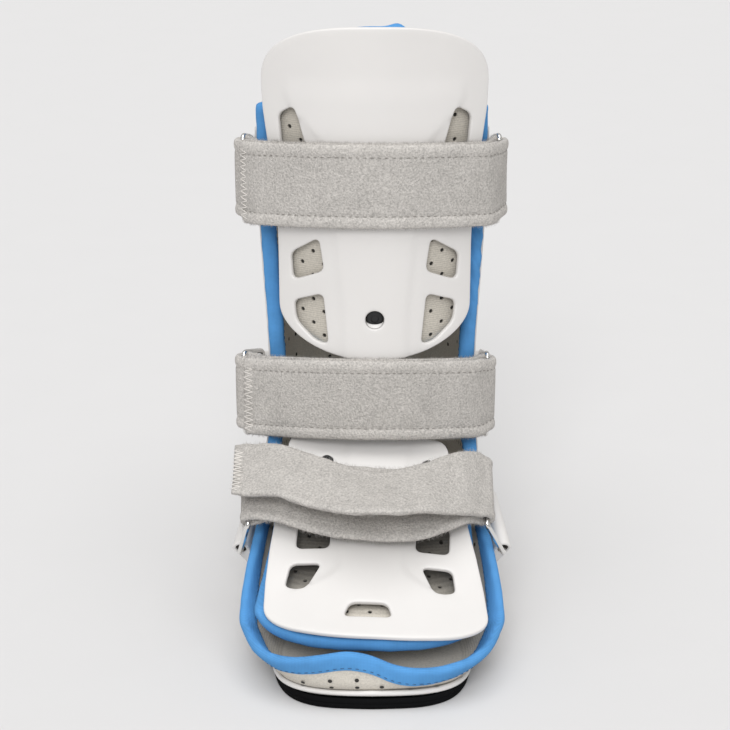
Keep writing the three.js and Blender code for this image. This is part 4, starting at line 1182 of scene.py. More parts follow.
def pile_group(name):
    """Short brushed loops: fine mottling and a soft uneven surface."""
    tree, given, result = shader_group(name, ("Tint", "Height"), (
        ("Vector", None), ("Scale", 900.0), ("Patches", 60.0)))
    fine = noise_node(tree, given.outputs["Vector"], given.outputs["Scale"], 3, 0.65)
    broad = noise_node(tree, given.outputs["Vector"], given.outputs["Patches"], 2)
    tree.links.new(shared(tree, fine, 0.86, broad), result.inputs["Tint"])
    tree.links.new(fine, result.inputs["Height"])
    return tree


def knit_group(name):
    """Fine knitted ribs across the cloth, broken up by noise."""
    tree, given, result = shader_group(name, ("Tint", "Height"), (
        ("Vector", None), ("Rib Scale", 400.0), ("Fuzz Scale", 1100.0)))
    wave = add_node(tree, "ShaderNodeTexWave", bands_direction="Z", distortion=2.0, detail=2.0,
                    detail_scale=1.5)
    tree.links.new(given.outputs["Vector"], wave.inputs["Vector"])
    tree.links.new(given.outputs["Rib Scale"], wave.inputs["Scale"])
    fuzz = noise_node(tree, given.outputs["Vector"], given.outputs["Fuzz Scale"], 2)
    mixed = shared(tree, wave.outputs["Fac"], 0.25, fuzz)
    tree.links.new(mixed, result.inputs["Tint"])
    tree.links.new(mixed, result.inputs["Height"])
    return tree


def weave_group(name):
    """Plain weave of the binding tape and the threads."""
    tree, given, result = shader_group(name, ("Tint", "Height"), (
        ("Vector", None), ("Thread Scale", 420.0)))
    heights = []
    for direction in ("X", "Z"):
        wave = add_node(tree, "ShaderNodeTexWave", bands_direction=direction, distortion=0.6, detail=1.0)
        tree.links.new(given.outputs["Vector"], wave.inputs["Vector"])
        tree.links.new(given.outputs["Thread Scale"], wave.inputs["Scale"])
        heights.append(wave.outputs["Fac"])
    woven = shared(tree, heights[0], 0.5, heights[1])
    broad = noise_node(tree, given.outputs["Vector"], 90.0, 3)
    tree.links.new(shared(tree, woven, 0.35, broad), result.inputs["Tint"])
    tree.links.new(woven, result.inputs["Height"])
    return tree


def moulded_group(name):
    """Moulded skin: faint flow marks and a fine grain."""
    tree, given, result = shader_group(name, ("Tint", "Rough", "Height"), (
        ("Vector", None), ("Grain Scale", 1400.0), ("Flow Scale", 22.0)))
    flow = noise_node(tree, given.outputs["Vector"], given.outputs["Flow Scale"], 3)
    grain = noise_node(tree, given.outputs["Vector"], given.outputs["Grain Scale"], 2)
    tree.links.new(flow, result.inputs["Tint"])
    tree.links.new(shared(tree, flow, 0.7, grain), result.inputs["Rough"])
    tree.links.new(grain, result.inputs["Height"])
    return tree


GROUPS = {
    "pile": ("Brushed Pile", pile_group),
    "knit": ("Knitted Ribs", knit_group),
    "weave": ("Plain Weave", weave_group),
    "moulded": ("Moulded Skin", moulded_group),
}


def surface_group(kind):
    """The shared node group of one kind of surface."""
    name, make = GROUPS[kind]
    return bpy.data.node_groups.get(name) or make(name)


def ranged(tree, value, low, high):
    """A value from 0 to 1 moved to a range; the middle of the noise is stretched first."""
    node = add_node(tree, "ShaderNodeMapRange")
    tree.links.new(value, node.inputs["Value"])
    for label, number in (("From Min", 0.25), ("From Max", 0.75), ("To Min", low), ("To Max", high)):
        node.inputs[label].default_value = number
    return node.outputs[0]


# Sockets of a node that mixes two colours
MIX_FIRST, MIX_SECOND, MIX_RESULT = 6, 7, 2


def finish(name, colour, kind, contrast, rough, bump, metallic=0.0, shine=0.5, values=(), border=None):
    """Material with one Principled shader, driven by a shared surface group."""
    found = bpy.data.materials.get(name)
    if found:
        return found
    material = bpy.data.materials.new(name)
    material.use_nodes = True
    tree = material.node_tree
    shader = tree.nodes["Principled BSDF"]
    where = tree.nodes.new("ShaderNodeTexCoord")
    surface = tree.nodes.new("ShaderNodeGroup")
    surface.node_tree = surface_group(kind)
    tree.links.new(where.outputs["Object"], surface.inputs["Vector"])
    for label, value in values:
        surface.inputs[label].default_value = value
    shade = add_node(tree, "ShaderNodeMix", data_type="RGBA")
    tree.links.new(ranged(tree, surface.outputs["Tint"], 0, 1), shade.inputs[0])
    shade.inputs[MIX_FIRST].default_value = (*(c * (1 - contrast) for c in colour), 1)
    shade.inputs[MIX_SECOND].default_value = (*(min(c * (1 + contrast), 1) for c in colour), 1)
    shown = shade.outputs[MIX_RESULT]
    # The border attribute scales the colour: lighter outside the straps' stitch lines, and painted shade on
    # the instep pad
    if border:
        mark = add_node(tree, "ShaderNodeAttribute", attribute_name="border")
        edged = add_node(tree, "ShaderNodeMix", data_type="RGBA", blend_type="MULTIPLY")
        tree.links.new(mark.outputs["Fac"], edged.inputs[0])
        tree.links.new(shown, edged.inputs[MIX_FIRST])
        edged.inputs[MIX_SECOND].default_value = (border, border, border, 1)
        shown = edged.outputs[MIX_RESULT]
    tree.links.new(shown, shader.inputs["Base Color"])
    gloss = surface.outputs["Rough"] if "Rough" in surface.outputs else surface.outputs["Tint"]
    tree.links.new(ranged(tree, gloss, *rough), shader.inputs["Roughness"])
    strength, distance = bump
    relief = add_node(tree, "ShaderNodeBump", strength=strength, distance=distance)
    tree.links.new(surface.outputs["Height"], relief.inputs["Height"])
    tree.links.new(relief.outputs["Normal"], shader.inputs["Normal"])
    shader.inputs["Metallic"].default_value = metallic
    shader.inputs["Specular IOR Level"].default_value = shine
    return material


def colours():
    """The colours that a user may have changed."""
    return bpy.context.scene.splint_colours


def plastic():
    """Satin white plastic of the shell and plates."""
    return finish("Satin Plastic", colours().plastic, "moulded", 0.02, (0.34, 0.5), (0.08, 0.0002))


def padding():
    """Grey knitted cloth over the pads' foam, with painted shade where the border value is high."""
    return finish("Knitted Padding", colours().padding, "knit", 0.17, (0.85, 1.0), (0.5, 0.0004),
                  shine=0.1, values=(("Rib Scale", 250.0),), border=0.33)


def lining():
    """Lighter knitted cloth of the liner."""
    return finish("Knitted Lining", colours().lining, "knit", 0.16, (0.85, 1.0), (0.5, 0.0004), shine=0.1)


def tape_cloth():
    """Blue binding tape."""
    return finish("Woven Tape", colours().tape, "weave", 0.16, (0.75, 0.95), (0.3, 0.0003), shine=0.12)


def strap_pile():
    """Pale loop pile of the straps, a little lighter outside the stitch lines."""
    return finish("Brushed Strap", colours().strap, "pile", 0.42, (0.9, 1.0), (0.9, 0.0011), shine=0.05,
                  values=(("Scale", 900.0),), border=1.1)


def thread(name, colour):
    """Sewing thread."""
    return finish(name, colour, "weave", 0.2, (0.6, 0.8), (0.3, 0.0002), values=(("Thread Scale", 900.0),))


def plated():
    """Bright plated wire."""
    return finish("Bright Wire", colours().wire, "moulded", 0.04, (0.08, 0.2), (0.02, 0.0001), metallic=1.0)


def rubber():
    """Black outsole rubber."""
    return finish("Sole Rubber", colours().rubber, "moulded", 0.3, (0.75, 0.95), (0.3, 0.0004), shine=0.06,
                  values=(("Grain Scale", 700.0),))


def black_plastic():
    """Black satin plastic of the rivets."""
    return finish("Rivet Plastic", colours().rubber, "moulded", 0.2, (0.25, 0.4), (0.05, 0.0002))


def studio_floor():
    """Pale matt floor under the splint."""
    return finish("Studio Floor", colours().floor, "moulded", 0.004, (0.85, 0.95), (0.0, 0.0002))


def hole_dark():
    """Painted shade: the dark inside of the ventilation holes and the lugs' bores."""
    return finish("Hole Shade", (0.03, 0.028, 0.025), "knit", 0.3, (0.9, 1.0), (0.2, 0.0002))


# Pieces


def sizes():
    """The sizes in millimetres."""
    group = bpy.context.scene.splint_sizes
    return {name: getattr(group, name) / MM for name in group.__annotations__}


def build_liner():
    """Padded liner with its ventilation holes, drawn as dark discs of painted shade."""
    size = sizes()
    ribs = boot_ribs()[1:-1]
    grid, normal = boot_grid(ribs, LINER_COLUMNS, lambda rib: LINER_INSET)
    from_rim = step_up(EDGE_PINCH["from_rim"], EDGE_PINCH["to_rim"], rim_distance(grid))
    pinch = edge_pinch(grid[..., 2]) * (1 - from_rim)
    liner = rounded_wall(grid, normal, -pinch, pinch - LINER_WALL).piece("liner", lining())
    settle(liner, "grey_padding", "liner")
    # Painted shade: dark discs on both faces of the liner stand for its holes
    places, along, outward = liner_holes(ribs, size["hole_pitch"])
    holes = scattered("liner_holes", "hole", places, along, outward, hole_dark(), size["hole_radius"])
    settle(holes, "grey_padding")


def edge_pinch(z):
    """How much the liner's wall is pressed in on each side at its edge, at a height."""
    return EDGE_PINCH["depth"] * (1 - step_up(EDGE_PINCH["full_z"], EDGE_PINCH["none_z"], z))


def rim_distance(grid):
    """How far each point of the boot's grid lies from the nearest edge."""
    up = np.linalg.norm(np.diff(grid, axis=1), axis=-1)
    to_rim = np.concatenate([np.cumsum(up[:, ::-1], axis=1)[:, ::-1], np.zeros((len(grid), 1))], axis=1)
    on = np.linalg.norm(np.diff(grid, axis=0), axis=-1)
    from_first = np.concatenate([np.zeros((1, grid.shape[1])), np.cumsum(on, axis=0)])
    return np.minimum(to_rim, np.minimum(from_first, from_first[-1] - from_first))


def toe_holes(ribs):
    """Places and outward directions of the holes in rows along the toe's rim."""
    places, outward = [], []
    for below, start in TOE_HOLE_ROWS:
        row, face = boot_grid(ribs, LINER_HOLES["steps"] + 1, lambda rib: below)
        toe = np.flatnonzero(row[:, -1, 1] < TOE_HOLES["before_y"])
        run = lengths(row[toe, -1])
        for k in toe[np.searchsorted(run, np.arange(start, run[-1], TOE_HOLES["pitch"]))]:
            places.append(row[k, -1])
            outward.append(face[k, -1])
    return places, outward


def liner_holes(ribs, pitch):
    """Places and directions of the dark discs of painted shade that stand for the liner's holes on both
    faces, none crowded and none on the floor.
    """
    taken, outward = toe_holes(ribs)
    places = [spot + HOLE_LIFT * face for spot, face in zip(taken, outward)]
    along = [np.array((1.0, 0, 0))] * len(places)
    steps = LINER_HOLES["steps"]
    grid, normal = boot_grid(ribs, steps + 1, lambda rib: LINER_HOLES["below_rim"])
    across = unit(np.gradient(grid, axis=0))
    row_step = max(int(round(pitch / 2 / RIB_STEP)), 1)
    ends = LINER_HOLES["end_ribs"]
    for count, i in enumerate(range(ends, len(ribs) - ends, row_step)):
        run = lengths(grid[i])
        wanted = np.arange((count % 2) * pitch / 2 + LINER_HOLES["first"], run[-1], pitch)
        for j in np.searchsorted(run, wanted).clip(0, steps):
            nearest = np.min(np.sum((np.array(taken) - grid[i, j]) ** 2, axis=1))
            if nearest < (LINER_HOLES["apart"] * pitch) ** 2 or normal[i, j, 2] < LINER_HOLES["floor"]:
                continue
            taken.append(grid[i, j])
            for offset, way in ((HOLE_LIFT, 1), (-LINER_WALL - HOLE_LIFT, -1)):
                places.append(grid[i, j] + normal[i, j] * offset)
                along.append(across[i, j])
                outward.append(normal[i, j] * way)
    return np.array(places), np.array(along), np.array(outward)


def build_shell():
    """White shell with its ring lugs."""
    ribs = boot_ribs()
    drop = int(round(SHELL_TOP / RIB_STEP))
    ribs = ribs[drop:-drop]
    grid, normal = boot_grid(ribs, SHELL_COLUMNS, lambda rib: rib["trim"])
    skin = rounded_wall(grid, normal, SHELL_GAP + SHELL_WALL, SHELL_GAP)
    settle(skin.piece("back_shell", plastic()), "white_plastic", "back_shell")
    # The lugs' bores get dark sleeves of painted shade
    lugs, bore_shades = Skin(), Skin()
    for axis, web in all_lugs():
        part = lug_skin(axis, web)
        lugs.cells(np.concatenate(part.points), part.faces)
        bore_shades.grid(bore_shade_grid(axis, web), close_rows=True, close_columns=True)
    settle(lugs.piece("shell_lugs", plastic(), crease=35), "white_plastic")
    settle(bore_shades.piece("lug_bore_shade", hole_dark(), crease=35), "white_plastic")


def build_sole():
    """Rubber outsole with a grooved edge."""
    right = smooth(lengths(SOLE_OUTLINE), SOLE_OUTLINE, np.linspace(0, lengths(SOLE_OUTLINE)[-1], 160))
    loop = spaced(np.concatenate([right, right[-2:0:-1] * (-1, 1)]), SOLE_STEP, closed=True)
    loop = soften(loop, 6)
    skin = Skin()

    def level(move, z):
        return np.c_[inset(loop, move), np.full(len(loop), z)]

    skin.grid(np.array([level(*row) for row in SOLE_PROFILE]), close_columns=True)
    bottom, faces = filled([inset(loop, SOLE_PROFILE[0][0])], SOLE_NET)
    skin.cells(np.c_[bottom, np.zeros(len(bottom))], faces)
    skin.grid(np.array([level(*SOLE_PROFILE[-1]), level(*SOLE_TOP)]), close_columns=True)
    top, faces = filled([inset(loop, SOLE_TOP[0])], SOLE_NET + 1)
    skin.cells(np.c_[top, np.full(len(top), SOLE_TOP[1])], faces)
    settle(skin.piece("sole", rubber(), crease=40), "black_rubber", "sole")


def shin_band(spots, height):
    """Raised middle of the shin plate, wider towards the top and the bottom."""
    x, w = np.abs(spots[:, 0]), spots[:, 1]
    band = SHIN_BAND
    half = (band["half"] + band["spread"] * step_up(*band["spread_w"], w)
            + band["flare"] * step_up(*band["flare_w"], w))
    fade = 1 - step_up(*band["end_w"], w)
    return height * (1 - step_up(half - band["edge"], half + band["edge"], x)) * fade


def instep_band(spots, height):
    """Raised middle of the instep plate, which spreads out in front of the windows; the top bends back."""
    x, s = np.abs(spots[:, 0]), spots[:, 1]
    band = INSTEP_BAND
    half = band["half"] + band["flare"] * np.clip(band["flare_s"] - s, 0, None) ** 2
    fade = 1 - step_up(*band["end_x"], x)
    return height * (1 - step_up(half - band["edge"], half + band["edge"], x)) * fade - instep_bend(s)


def rivet_holes(plate):
    """Round holes of a plate's rivets."""
    return [circle_loop((x, w), radius, RIVET_SIDES) for _, on, x, w, radius, _ in RIVETS if on == plate]


def build_plates():
    """The shin plate and the instep plate with their windows."""
    size = sizes()
    shin_cuts, instep_cuts = (
        [window_loop(c) for corners in windows for c in (corners, mirrored(corners))]
        for windows in (SHIN_WINDOWS, INSTEP_WINDOWS))
    instep_cuts.append(window_loop(INSTEP_FRONT_WINDOW))
    instep_loop = outline_loop(*INSTEP_OUTLINE)
    lean = INSTEP["plate_lean"] * (INSTEP["lean_from"] - instep_loop[:, 1])
    instep_loop[:, 0] += INSTEP["plate_shift"] + lean
    for name, surface, loop, cuts, band in (
            ("shin", shin_surface, outline_loop(*SHIN_OUTLINE), shin_cuts, shin_band),
            ("instep", instep_surface, instep_loop, instep_cuts, instep_band)):
        loops = [loop] + cuts + rivet_holes(name)
        skin = panel(surface, loops, 0, -size["plate_wall"], size["plate_bevel"], PLATE_NET,
                     raised=lambda spots, band=band: band(spots, size["band_height"]))
        settle(skin.piece(f"{name}_plate", plastic(), crease=60), "white_plastic", f"{name}_plate")


def pads(size):
    """Name, surface, outline, wall and leg of the tape, for each pad."""
    return (
        ("shin_pad", shin_surface, SHIN_PAD_OUTLINE, SHIN_PAD_WALL, size["shin_tape_width"]),
        ("instep_pad", instep_pad_surface, INSTEP_PAD_OUTLINE, INSTEP_PAD_WALL, size["tape_width"]),
    )


def build_pads():
    """Perforated pads behind the plates."""
    size = sizes()
    radius = size["hole_radius"]
    for name, surface, outline, wall, leg in pads(size):
        loop = inset(outline_loop(*outline), PAD_INSET)
        spots = hole_spots(loop, size["hole_pitch"], leg + TAPE_SEAM, PAD_HOLES[name])
        holes = [circle_loop(spot, radius, HOLE_SIDES) for spot in spots]
        skin = panel(surface, [loop] + holes, PAD_FRONT, PAD_FRONT - wall, PAD_BEVEL, PAD_NET,
                     hole_bevel=HOLE_BEVEL)
        # Painted shade: the instep pad's cloth is drawn darker towards the ankle, under the plate and the
        # strap
        if name == "instep_pad":
            skin.border = [step_up(PAD_SHADE["from_y"], PAD_SHADE["to_y"], points[:, 1])
                           for points in skin.points]
        pad = settle(skin.piece(name, padding(), crease=60), "grey_padding", name)
        # Painted shade: a dark disc sits in each hole a little below the pad's front
        places, outward = lift_on(surface, spots, np.full(len(spots), PAD_FRONT - HOLE_DEPTH))
        along = np.broadcast_to((1.0, 0, 0), places.shape)
        holes = scattered(f"{name}_holes", "hole", places, along, outward, hole_dark(), HOLE_FIT * radius)
        settle(holes, "grey_padding")


def boot_rim():
    """The liner's whole rim as a closed run: places, outward directions and normals of the outer face."""
    ribs = boot_ribs()
    grid, normal = boot_grid(ribs, LINER_COLUMNS, lambda rib: 0.0)
    side_out = unit(grid[:, -1] - grid[:, -2])
    top_right, top_left = unit(grid[-1] - grid[-2]), unit(grid[0] - grid[1])
    place = np.concatenate([grid[:, -1], grid[-1, -2::-1], grid[0, 1:-1]])
    out = np.concatenate([side_out, top_right[-2::-1], top_left[1:-1]])
    face = np.concatenate([normal[:, -1], normal[-1, -2::-1], normal[0, 1:-1]])
    run = lengths(np.concatenate([place, place[:1]]))
    wanted = np.linspace(0, run[-1], int(run[-1] / RIM_STEP), endpoint=False)
    packed = np.concatenate([place, out, face], axis=1)
    packed = np.concatenate([packed, packed[:1]])
    table = soften(linear(run, packed, wanted), 4)
    return table[:, :3], unit(table[:, 3:6]), unit(table[:, 6:9]), wanted


def panel_rim(outline):
    """A pad's outline as a closed run of spots and outward directions on its surface."""
    loop = outline_loop(*outline, step=RIM_STEP)
    ahead = heading(loop)
    out = np.stack([ahead[:, 1], -ahead[:, 0]], axis=1)
    return loop, out, lengths(np.concatenate([loop, loop[:1]]))[:-1]


def boot_tape(width):
    """The run of the liner's rim, and what places a point of the tape's section along it."""
    place, out, face, run = boot_rim()
    back = step_up(TOP_PEAK["from_y"], TOP_PEAK["to_y"], place[:, 1])
    on_top = (place[:, 2] > TOP_PEAK["above_z"]) * back
    peak = TOP_PEAK["height"] * np.exp(-((place[:, 0] - TOP_PEAK["x"]) / TOP_PEAK["reach"]) ** 2)
    moved = on_top * (peak - TOP_PEAK["drop"])
    creased = np.exp(-((place[:, 2] - TAPE_CREASE["z"]) / TAPE_CREASE["reach"]) ** 2) * (place[:, 0] > 0)
    squeeze = 1 - 2 * edge_pinch(place[:, 2]) / LINER_WALL

    def spot(r, n):
        ripple = waves(run + TAPE_CREASE["slant"] * n, TAPE_CREASE["pitch"], TAPE_CREASE["seed"])
        fold = creased * ripple * (1 + r / width)
        height = (n + LINER_WALL / 2) * squeeze - LINER_WALL / 2 + TAPE_CREASE["rise"] * fold
        return place + (r + moved + TAPE_CREASE["shift"] * fold)[:, None] * out + height[:, None] * face

    return run, spot


def pad_tape(surface, outline):
    """The run of a pad's rim, and what places a point of the tape's section along it."""
    loop, aside, run = panel_rim(outline)

    def spot(r, n):
        return lift_on(surface, loop + r * aside, PAD_FRONT + np.broadcast_to(n, len(loop)))[0]

    return run, spot


def tape_seams(spot, wall, leg, thick, pitch):
    """Stitches along the inner edge of both legs of a tape: places and directions."""
    inner = -leg + min(TAPE_SEAM, leg / 2)
    runs = []
    base, top = TAPE_STITCH["base"], TAPE_STITCH["lies_at"] * thick
    for low, high in ((base, top), (-wall - base, -wall - top)):
        seam = spot(inner, high)
        outward = unit(seam - spot(inner, low))
        runs.append(stitch_run(*(np.concatenate([loop, loop[:1]]) for loop in (seam, outward)), pitch))
    return [np.concatenate(parts) for parts in zip(*runs)]


def build_bindings():
    """Blue tape folded over the rims of the liner and the pads, with its stitches."""
    size = sizes()
    width = size["tape_width"]
    sewing = thread("Blue Thread", tuple(c * TAPE_STITCH["tone"] for c in colours().tape))
    jobs = [("liner", LINER_WALL, width, LINER_TAPE, *boot_tape(width))]
    jobs += [(name, wall, leg, PAD_TAPE, *pad_tape(surface, outline))
             for name, surface, outline, wall, leg in pads(size)]
    for edged, wall, leg, thick, run, spot in jobs:
        name = f"{edged}_binding"
        profile = tape_profile(wall, leg, thick)
        tape = tape_skin(spot, profile, run).piece(name, tape_cloth())
        settle(tape, "blue_tape", name)
        seams = tape_seams(spot, wall, leg, thick, size["stitch_pitch"])
        stitches = scattered(f"{name}_stitches", "stitch", *seams, sewing, TAPE_THREAD,
                             size["stitch_length"])
        settle(stitches, "blue_tape")
        cut = tape_cut(profile, run)


def build_rivets():
    """Dark rivets in the plates' holes; the middle one shows a pale washer below its head."""
    size = sizes()
    for name, plate, x, w, hole, top in RIVETS:
        radius = hole - RIVET_GAP
        foot = -size["plate_wall"] - RIVET_FOOT
        profile = [(RIVET_POLE, foot), (radius, foot)]
        profile += [(share * radius, top - down) for share, down in RIVET_HEAD]
        profile.append((RIVET_POLE, top - RIVET_DIMPLE))
        turn = np.linspace(0, 2 * math.pi, RIVET_SIDES, endpoint=False)
        circle = np.stack([np.cos(turn), np.sin(turn)], axis=1)
        centre = np.array((x, w), float)
        middle, normal = lift_on(SURFACES[plate], centre[None], np.zeros(1))
        up = unit(SURFACES[plate](np.array([x * 1.0]), np.array([w + 1.0])) - middle)
        across = np.cross(up, normal)
        rows = [middle + r * (circle[:, :1] * across + circle[:, 1:] * up) + n * normal for r, n in profile]
        skin = Skin()
        skin.grid(np.array(rows), close_columns=True)
        for row in (rows[0], rows[-1]):
            skin.cells(row, [list(range(len(row)))])
        settle(skin.piece(name, black_plastic(), crease=35), "black_rivet", name)
        if top < 0:
            below = np.radians(np.linspace(WASHER["from"], WASHER["to"], 25))
            arc = (hole - WASHER["gap"]) * np.stack([np.cos(below), np.sin(below)], axis=1)
            chord = arc * (1, WASHER["flat"]) - (0, WASHER["drop"])
            lip = [middle + spot[:, :1] * across + spot[:, 1:] * up + n * normal
                   for spot, n in ((arc, WASHER["front"]), (chord, top + WASHER["rise"]),
                                   (chord, top + WASHER["back"]), (arc, top + WASHER["back"]))]
            crescent = Skin()
            crescent.grid(np.array(lip), close_rows=True)
            settle(crescent.piece(f"{name}_lip", plastic(), crease=30), "white_plastic")


def strap_fuzz(name, frames, width, wall, length):
    """Short loose fibres along both edges of a strap, except where it turns round its rings."""
    place, wide, ahead, out, run = frames
    draw = np.random.default_rng(len(name))
    where = draw.uniform(1, run[-1] - 1, int(run[-1] / FUZZ["apart"]))
    where = where[np.interp(where, run, strap_gather(place)) > FUZZ["not_gathered"]]
    count = len(where)
    side = draw.choice((-1.0, 1.0), count)[:, None]

    def along(vectors):
        return linear(run, vectors, where)

    lean = draw.normal(0, FUZZ["spread"], (count, 2))
    fibre = unit(side * along(wide) + lean[:, :1] * along(out) + lean[:, 1:] * along(ahead))
    edge = (width / 2 - FUZZ["inset"]) * np.interp(where, run, strap_gather(place))[:, None]
    depth = draw.uniform(-FUZZ["depth"], FUZZ["depth"], (count, 1)) * wall
    root = along(place) + side * edge * along(wide) + depth * along(out)
    return scattered(f"{name}_fuzz", "fibre", root, along(ahead), fibre, strap_pile(), FUZZ["radius"],
                     length)


def strap_seams(frames, width, wall, pitch):
    """Stitches of the two lines along a strap's outer layer: places and directions."""
    place, wide, _, out, run = frames
    front = run > run[-1] * STRAP_SEAM["from_share"]
    below = wall / 2 - SEWN_GROOVE + STRAP_SEAM["lift"]
    lines = []
    for side in (-1, 1):
        aside = side * (width / 2 - STRAP_SEAM["inset"]) * strap_gather(place)[front, None]
        seam = place[front] + aside * wide[front] - out[front] * below
        lines.append(stitch_run(seam, -out[front], pitch))
    return [np.concatenate(parts) for parts in zip(*lines)]


def strap_zigzag(frames, width, wall):
    """Long slanted stitches across a strap's free end: places, directions and their length."""
    place, wide, _, out, run = frames
    step, below = ZIGZAG["step"], wall / 2 + ZIGZAG["lift"]
    near = min(np.searchsorted(run, run[-1] - ZIGZAG["near"]), len(run) - 1)
    far = np.searchsorted(run, run[-1] - ZIGZAG["far"])
    half = width / 2 * strap_gather(place)[near] - ZIGZAG["margin"]
    places, along = [], []
    for k, spot in enumerate(np.arange(-half, half - step, step)):
        first, second = (near, far) if k % 2 else (far, near)
        start = place[first] + wide[first] * spot - out[first] * below
        stop = place[second] + wide[second] * (spot + step) - out[second] * below
        places.append((start + stop) / 2)
        along.append(unit(stop - start))
    return places, along, [-out[near]] * len(places), run[near] - run[far] + ZIGZAG["spare"]


def build_straps():
    """The three straps with their stitch lines, zigzag ends and fuzz."""
    size = sizes()
    width, wall = size["strap_width"], size["strap_wall"]
    sewing = thread("Grey Thread", colours().thread)
    pale = thread("Pale Thread", tuple(ZIGZAG["tone"] * c for c in colours().strap))
    for strap, _, _ in kits():
        name, sewn = strap["name"], strap["sewn"]
        frames = strap_frames(strap, wall, size["wire_radius"], STRAP_STEP)
        made = strap_skin(frames, width, wall, sewn).piece(name, strap_pile(), crease=80)
        settle(made, "loop_strap", name)
        carried = []
        if sewn:
            seams = strap_seams(frames, width, wall, size["stitch_pitch"])
            carried.append(scattered(f"{name}_stitches", "stitch", *seams, sewing, STRAP_SEAM["radius"],
                                     size["stitch_length"]))
        *ends, length = strap_zigzag(frames, width, wall)
        carried.append(scattered(f"{name}_zigzag", "stitch", *ends, pale, ZIGZAG["radius"], length))
        carried.append(strap_fuzz(name, frames, width, wall, FUZZ["sewn" if sewn else "plain"]))
        for piece in carried:
            settle(piece, "loop_strap")


def build_rings():
    """Six bright wire rings."""
    size = sizes()
    for _, rings, _ in kits():
        for name, hinge, bar in rings:
            skin = Skin()
            tube(skin, ring_line(hinge, bar), size["wire_radius"], WIRE_SIDES)
            settle(skin.piece(name, plated()), "chrome_wire", name)


def build_stage():
    """Pale floor, soft studio light and the camera."""
    scene = bpy.context.scene
    mesh = bpy.data.meshes.new("floor")
    corners = [(x * FLOOR_HALF, y * FLOOR_HALF, 0) for x, y in ((-1, -1), (1, -1), (1, 1), (-1, 1))]
    mesh.from_pydata(corners, [], [(0, 1, 2, 3)])
    floor = bpy.data.objects.new("floor", mesh)
    scene.collection.objects.link(floor)
    mesh.materials.append(studio_floor())
    floor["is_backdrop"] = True
    world = scene.world or bpy.data.worlds.new("studio")
    scene.world = world
    world.use_nodes = True
    sky = world.node_tree.nodes["Background"]
    sky.inputs["Color"].default_value = SKY["colour"]
    sky.inputs["Strength"].default_value = SKY["strength"]
    for name, strength, spread, rotation in LIGHTS:
        lamp = bpy.data.lights.new(name, "SUN")
        lamp.energy = strength
        lamp.angle = math.radians(spread)
        light = bpy.data.objects.new(name, lamp)
        light.rotation_euler = [math.radians(angle) for angle in rotation]
        scene.collection.objects.link(light)
    lens = bpy.data.cameras.new("camera")
    camera = bpy.data.objects.new("camera", lens)
    scene.collection.objects.link(camera)
    rise = math.radians(CAMERA["elevation"])
    target = Vector(CAMERA["target"]) + Vector((0, CENTRE_Y, 0))
    back = Vector((0, -math.cos(rise), math.sin(rise)))
    camera.location = (target + back * CAMERA["distance"]) * MM
    camera.rotation_euler = (-back).to_track_quat("-Z", "Y").to_euler()
    lens.sensor_width = CAMERA["sensor"]
    lens.lens = CAMERA["focal_pixels"] / PICTURE * lens.sensor_width
    lens.shift_x = (PICTURE / 2 - CAMERA["centre_pixels"][0]) / PICTURE
    lens.shift_y = (CAMERA["centre_pixels"][1] - PICTURE / 2) / PICTURE
    lens.clip_start = CAMERA["nearest"] * MM
    scene.camera = camera
    scene.view_settings.view_transform = "Standard"


class SPLINT_OT_stage(Operator):
    """Build the floor, the light and the camera"""
    bl_idname = "splint.stage"
    bl_label = "Stage"

    def execute(self, context):
        build_stage()
        return {"FINISHED"}


class SPLINT_OT_liner(Operator):
    """Build the padded liner with its ventilation holes"""
    bl_idname = "splint.liner"
    bl_label = "Liner"

    def execute(self, context):
        build_liner()
        return {"FINISHED"}


class SPLINT_OT_shell(Operator):
    """Build the white shell and its ring lugs"""
    bl_idname = "splint.shell"
    bl_label = "Shell"

    def execute(self, context):
        build_shell()
        return {"FINISHED"}


class SPLINT_OT_sole(Operator):
    """Build the rubber outsole"""
    bl_idname = "splint.sole"
    bl_label = "Sole"

    def execute(self, context):
        build_sole()
        return {"FINISHED"}


class SPLINT_OT_plates(Operator):
    """Build the shin plate and the instep plate"""
    bl_idname = "splint.plates"
    bl_label = "Plates"

    def execute(self, context):
        build_plates()
        return {"FINISHED"}


class SPLINT_OT_pads(Operator):
    """Build the perforated pads behind the plates"""
    bl_idname = "splint.pads"
    bl_label = "Pads"

    def execute(self, context):
        build_pads()
        return {"FINISHED"}


class SPLINT_OT_bindings(Operator):
    """Build the blue binding tape with its stitches"""
    bl_idname = "splint.bindings"
    bl_label = "Bindings"

    def execute(self, context):
        build_bindings()
        return {"FINISHED"}


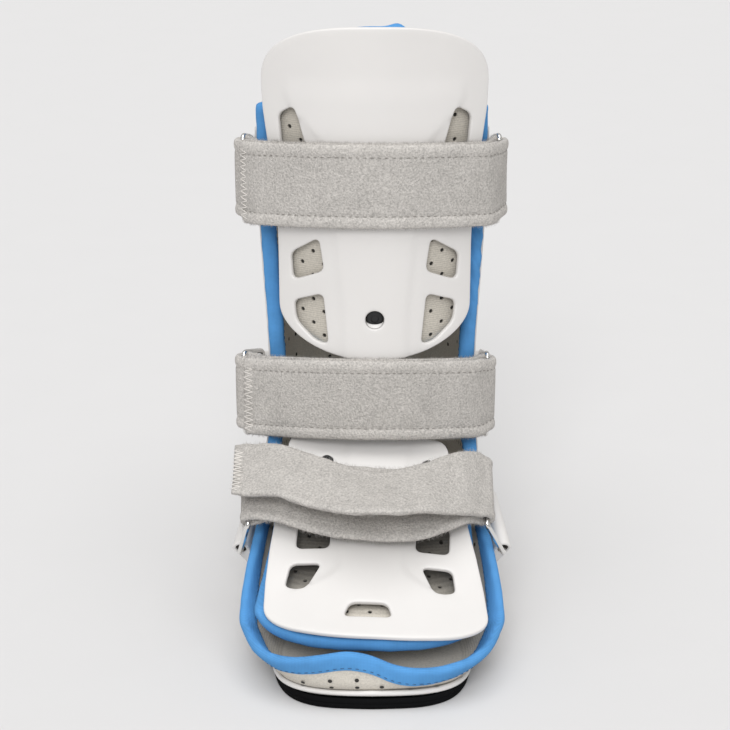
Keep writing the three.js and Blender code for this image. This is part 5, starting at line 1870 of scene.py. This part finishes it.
class SPLINT_OT_rivets(Operator):
    """Build the dark rivets"""
    bl_idname = "splint.rivets"
    bl_label = "Rivets"

    def execute(self, context):
        build_rivets()
        return {"FINISHED"}


class SPLINT_OT_straps(Operator):
    """Build the three straps with their stitches and fuzz"""
    bl_idname = "splint.straps"
    bl_label = "Straps"

    def execute(self, context):
        build_straps()
        return {"FINISHED"}


class SPLINT_OT_rings(Operator):
    """Build the bright wire rings"""
    bl_idname = "splint.rings"
    bl_label = "Rings"

    def execute(self, context):
        build_rings()
        return {"FINISHED"}


OPERATORS = (
    SPLINT_OT_stage, SPLINT_OT_liner, SPLINT_OT_shell, SPLINT_OT_sole, SPLINT_OT_plates,
    SPLINT_OT_pads, SPLINT_OT_bindings, SPLINT_OT_rivets, SPLINT_OT_straps, SPLINT_OT_rings,
)


class SPLINT_PT_panel(Panel):
    """Buttons for the splint's pieces"""
    bl_label = "Night Splint"
    bl_idname = "SPLINT_PT_panel"
    bl_space_type = "VIEW_3D"
    bl_region_type = "UI"
    bl_category = "Splint"

    def draw(self, context):
        for group in (context.scene.splint_sizes, context.scene.splint_colours):
            for name in group.__annotations__:
                self.layout.prop(group, name)
        for operator in OPERATORS:
            self.layout.operator(operator.bl_idname)


CLASSES = [SplintSizes, SplintColours, *OPERATORS, SPLINT_PT_panel]


def register():
    """Registers the classes and the scene's settings."""
    for item in CLASSES:
        bpy.utils.register_class(item)
    bpy.types.Scene.splint_sizes = PointerProperty(type=SplintSizes)
    bpy.types.Scene.splint_colours = PointerProperty(type=SplintColours)


def unregister():
    """Removes the scene's settings and the classes."""
    del bpy.types.Scene.splint_colours
    del bpy.types.Scene.splint_sizes
    for item in reversed(CLASSES):
        bpy.utils.unregister_class(item)


def main():
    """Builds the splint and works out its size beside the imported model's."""
    register()
    for operator in OPERATORS:
        getattr(bpy.ops.splint, operator.bl_idname.split(".")[1])()
    pairs = (("cad", CAD_BOX), ("visual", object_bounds()))
    boxes = {name: [list(corner) for corner in box] for name, box in pairs}


if __name__ == "__main__":
    main()
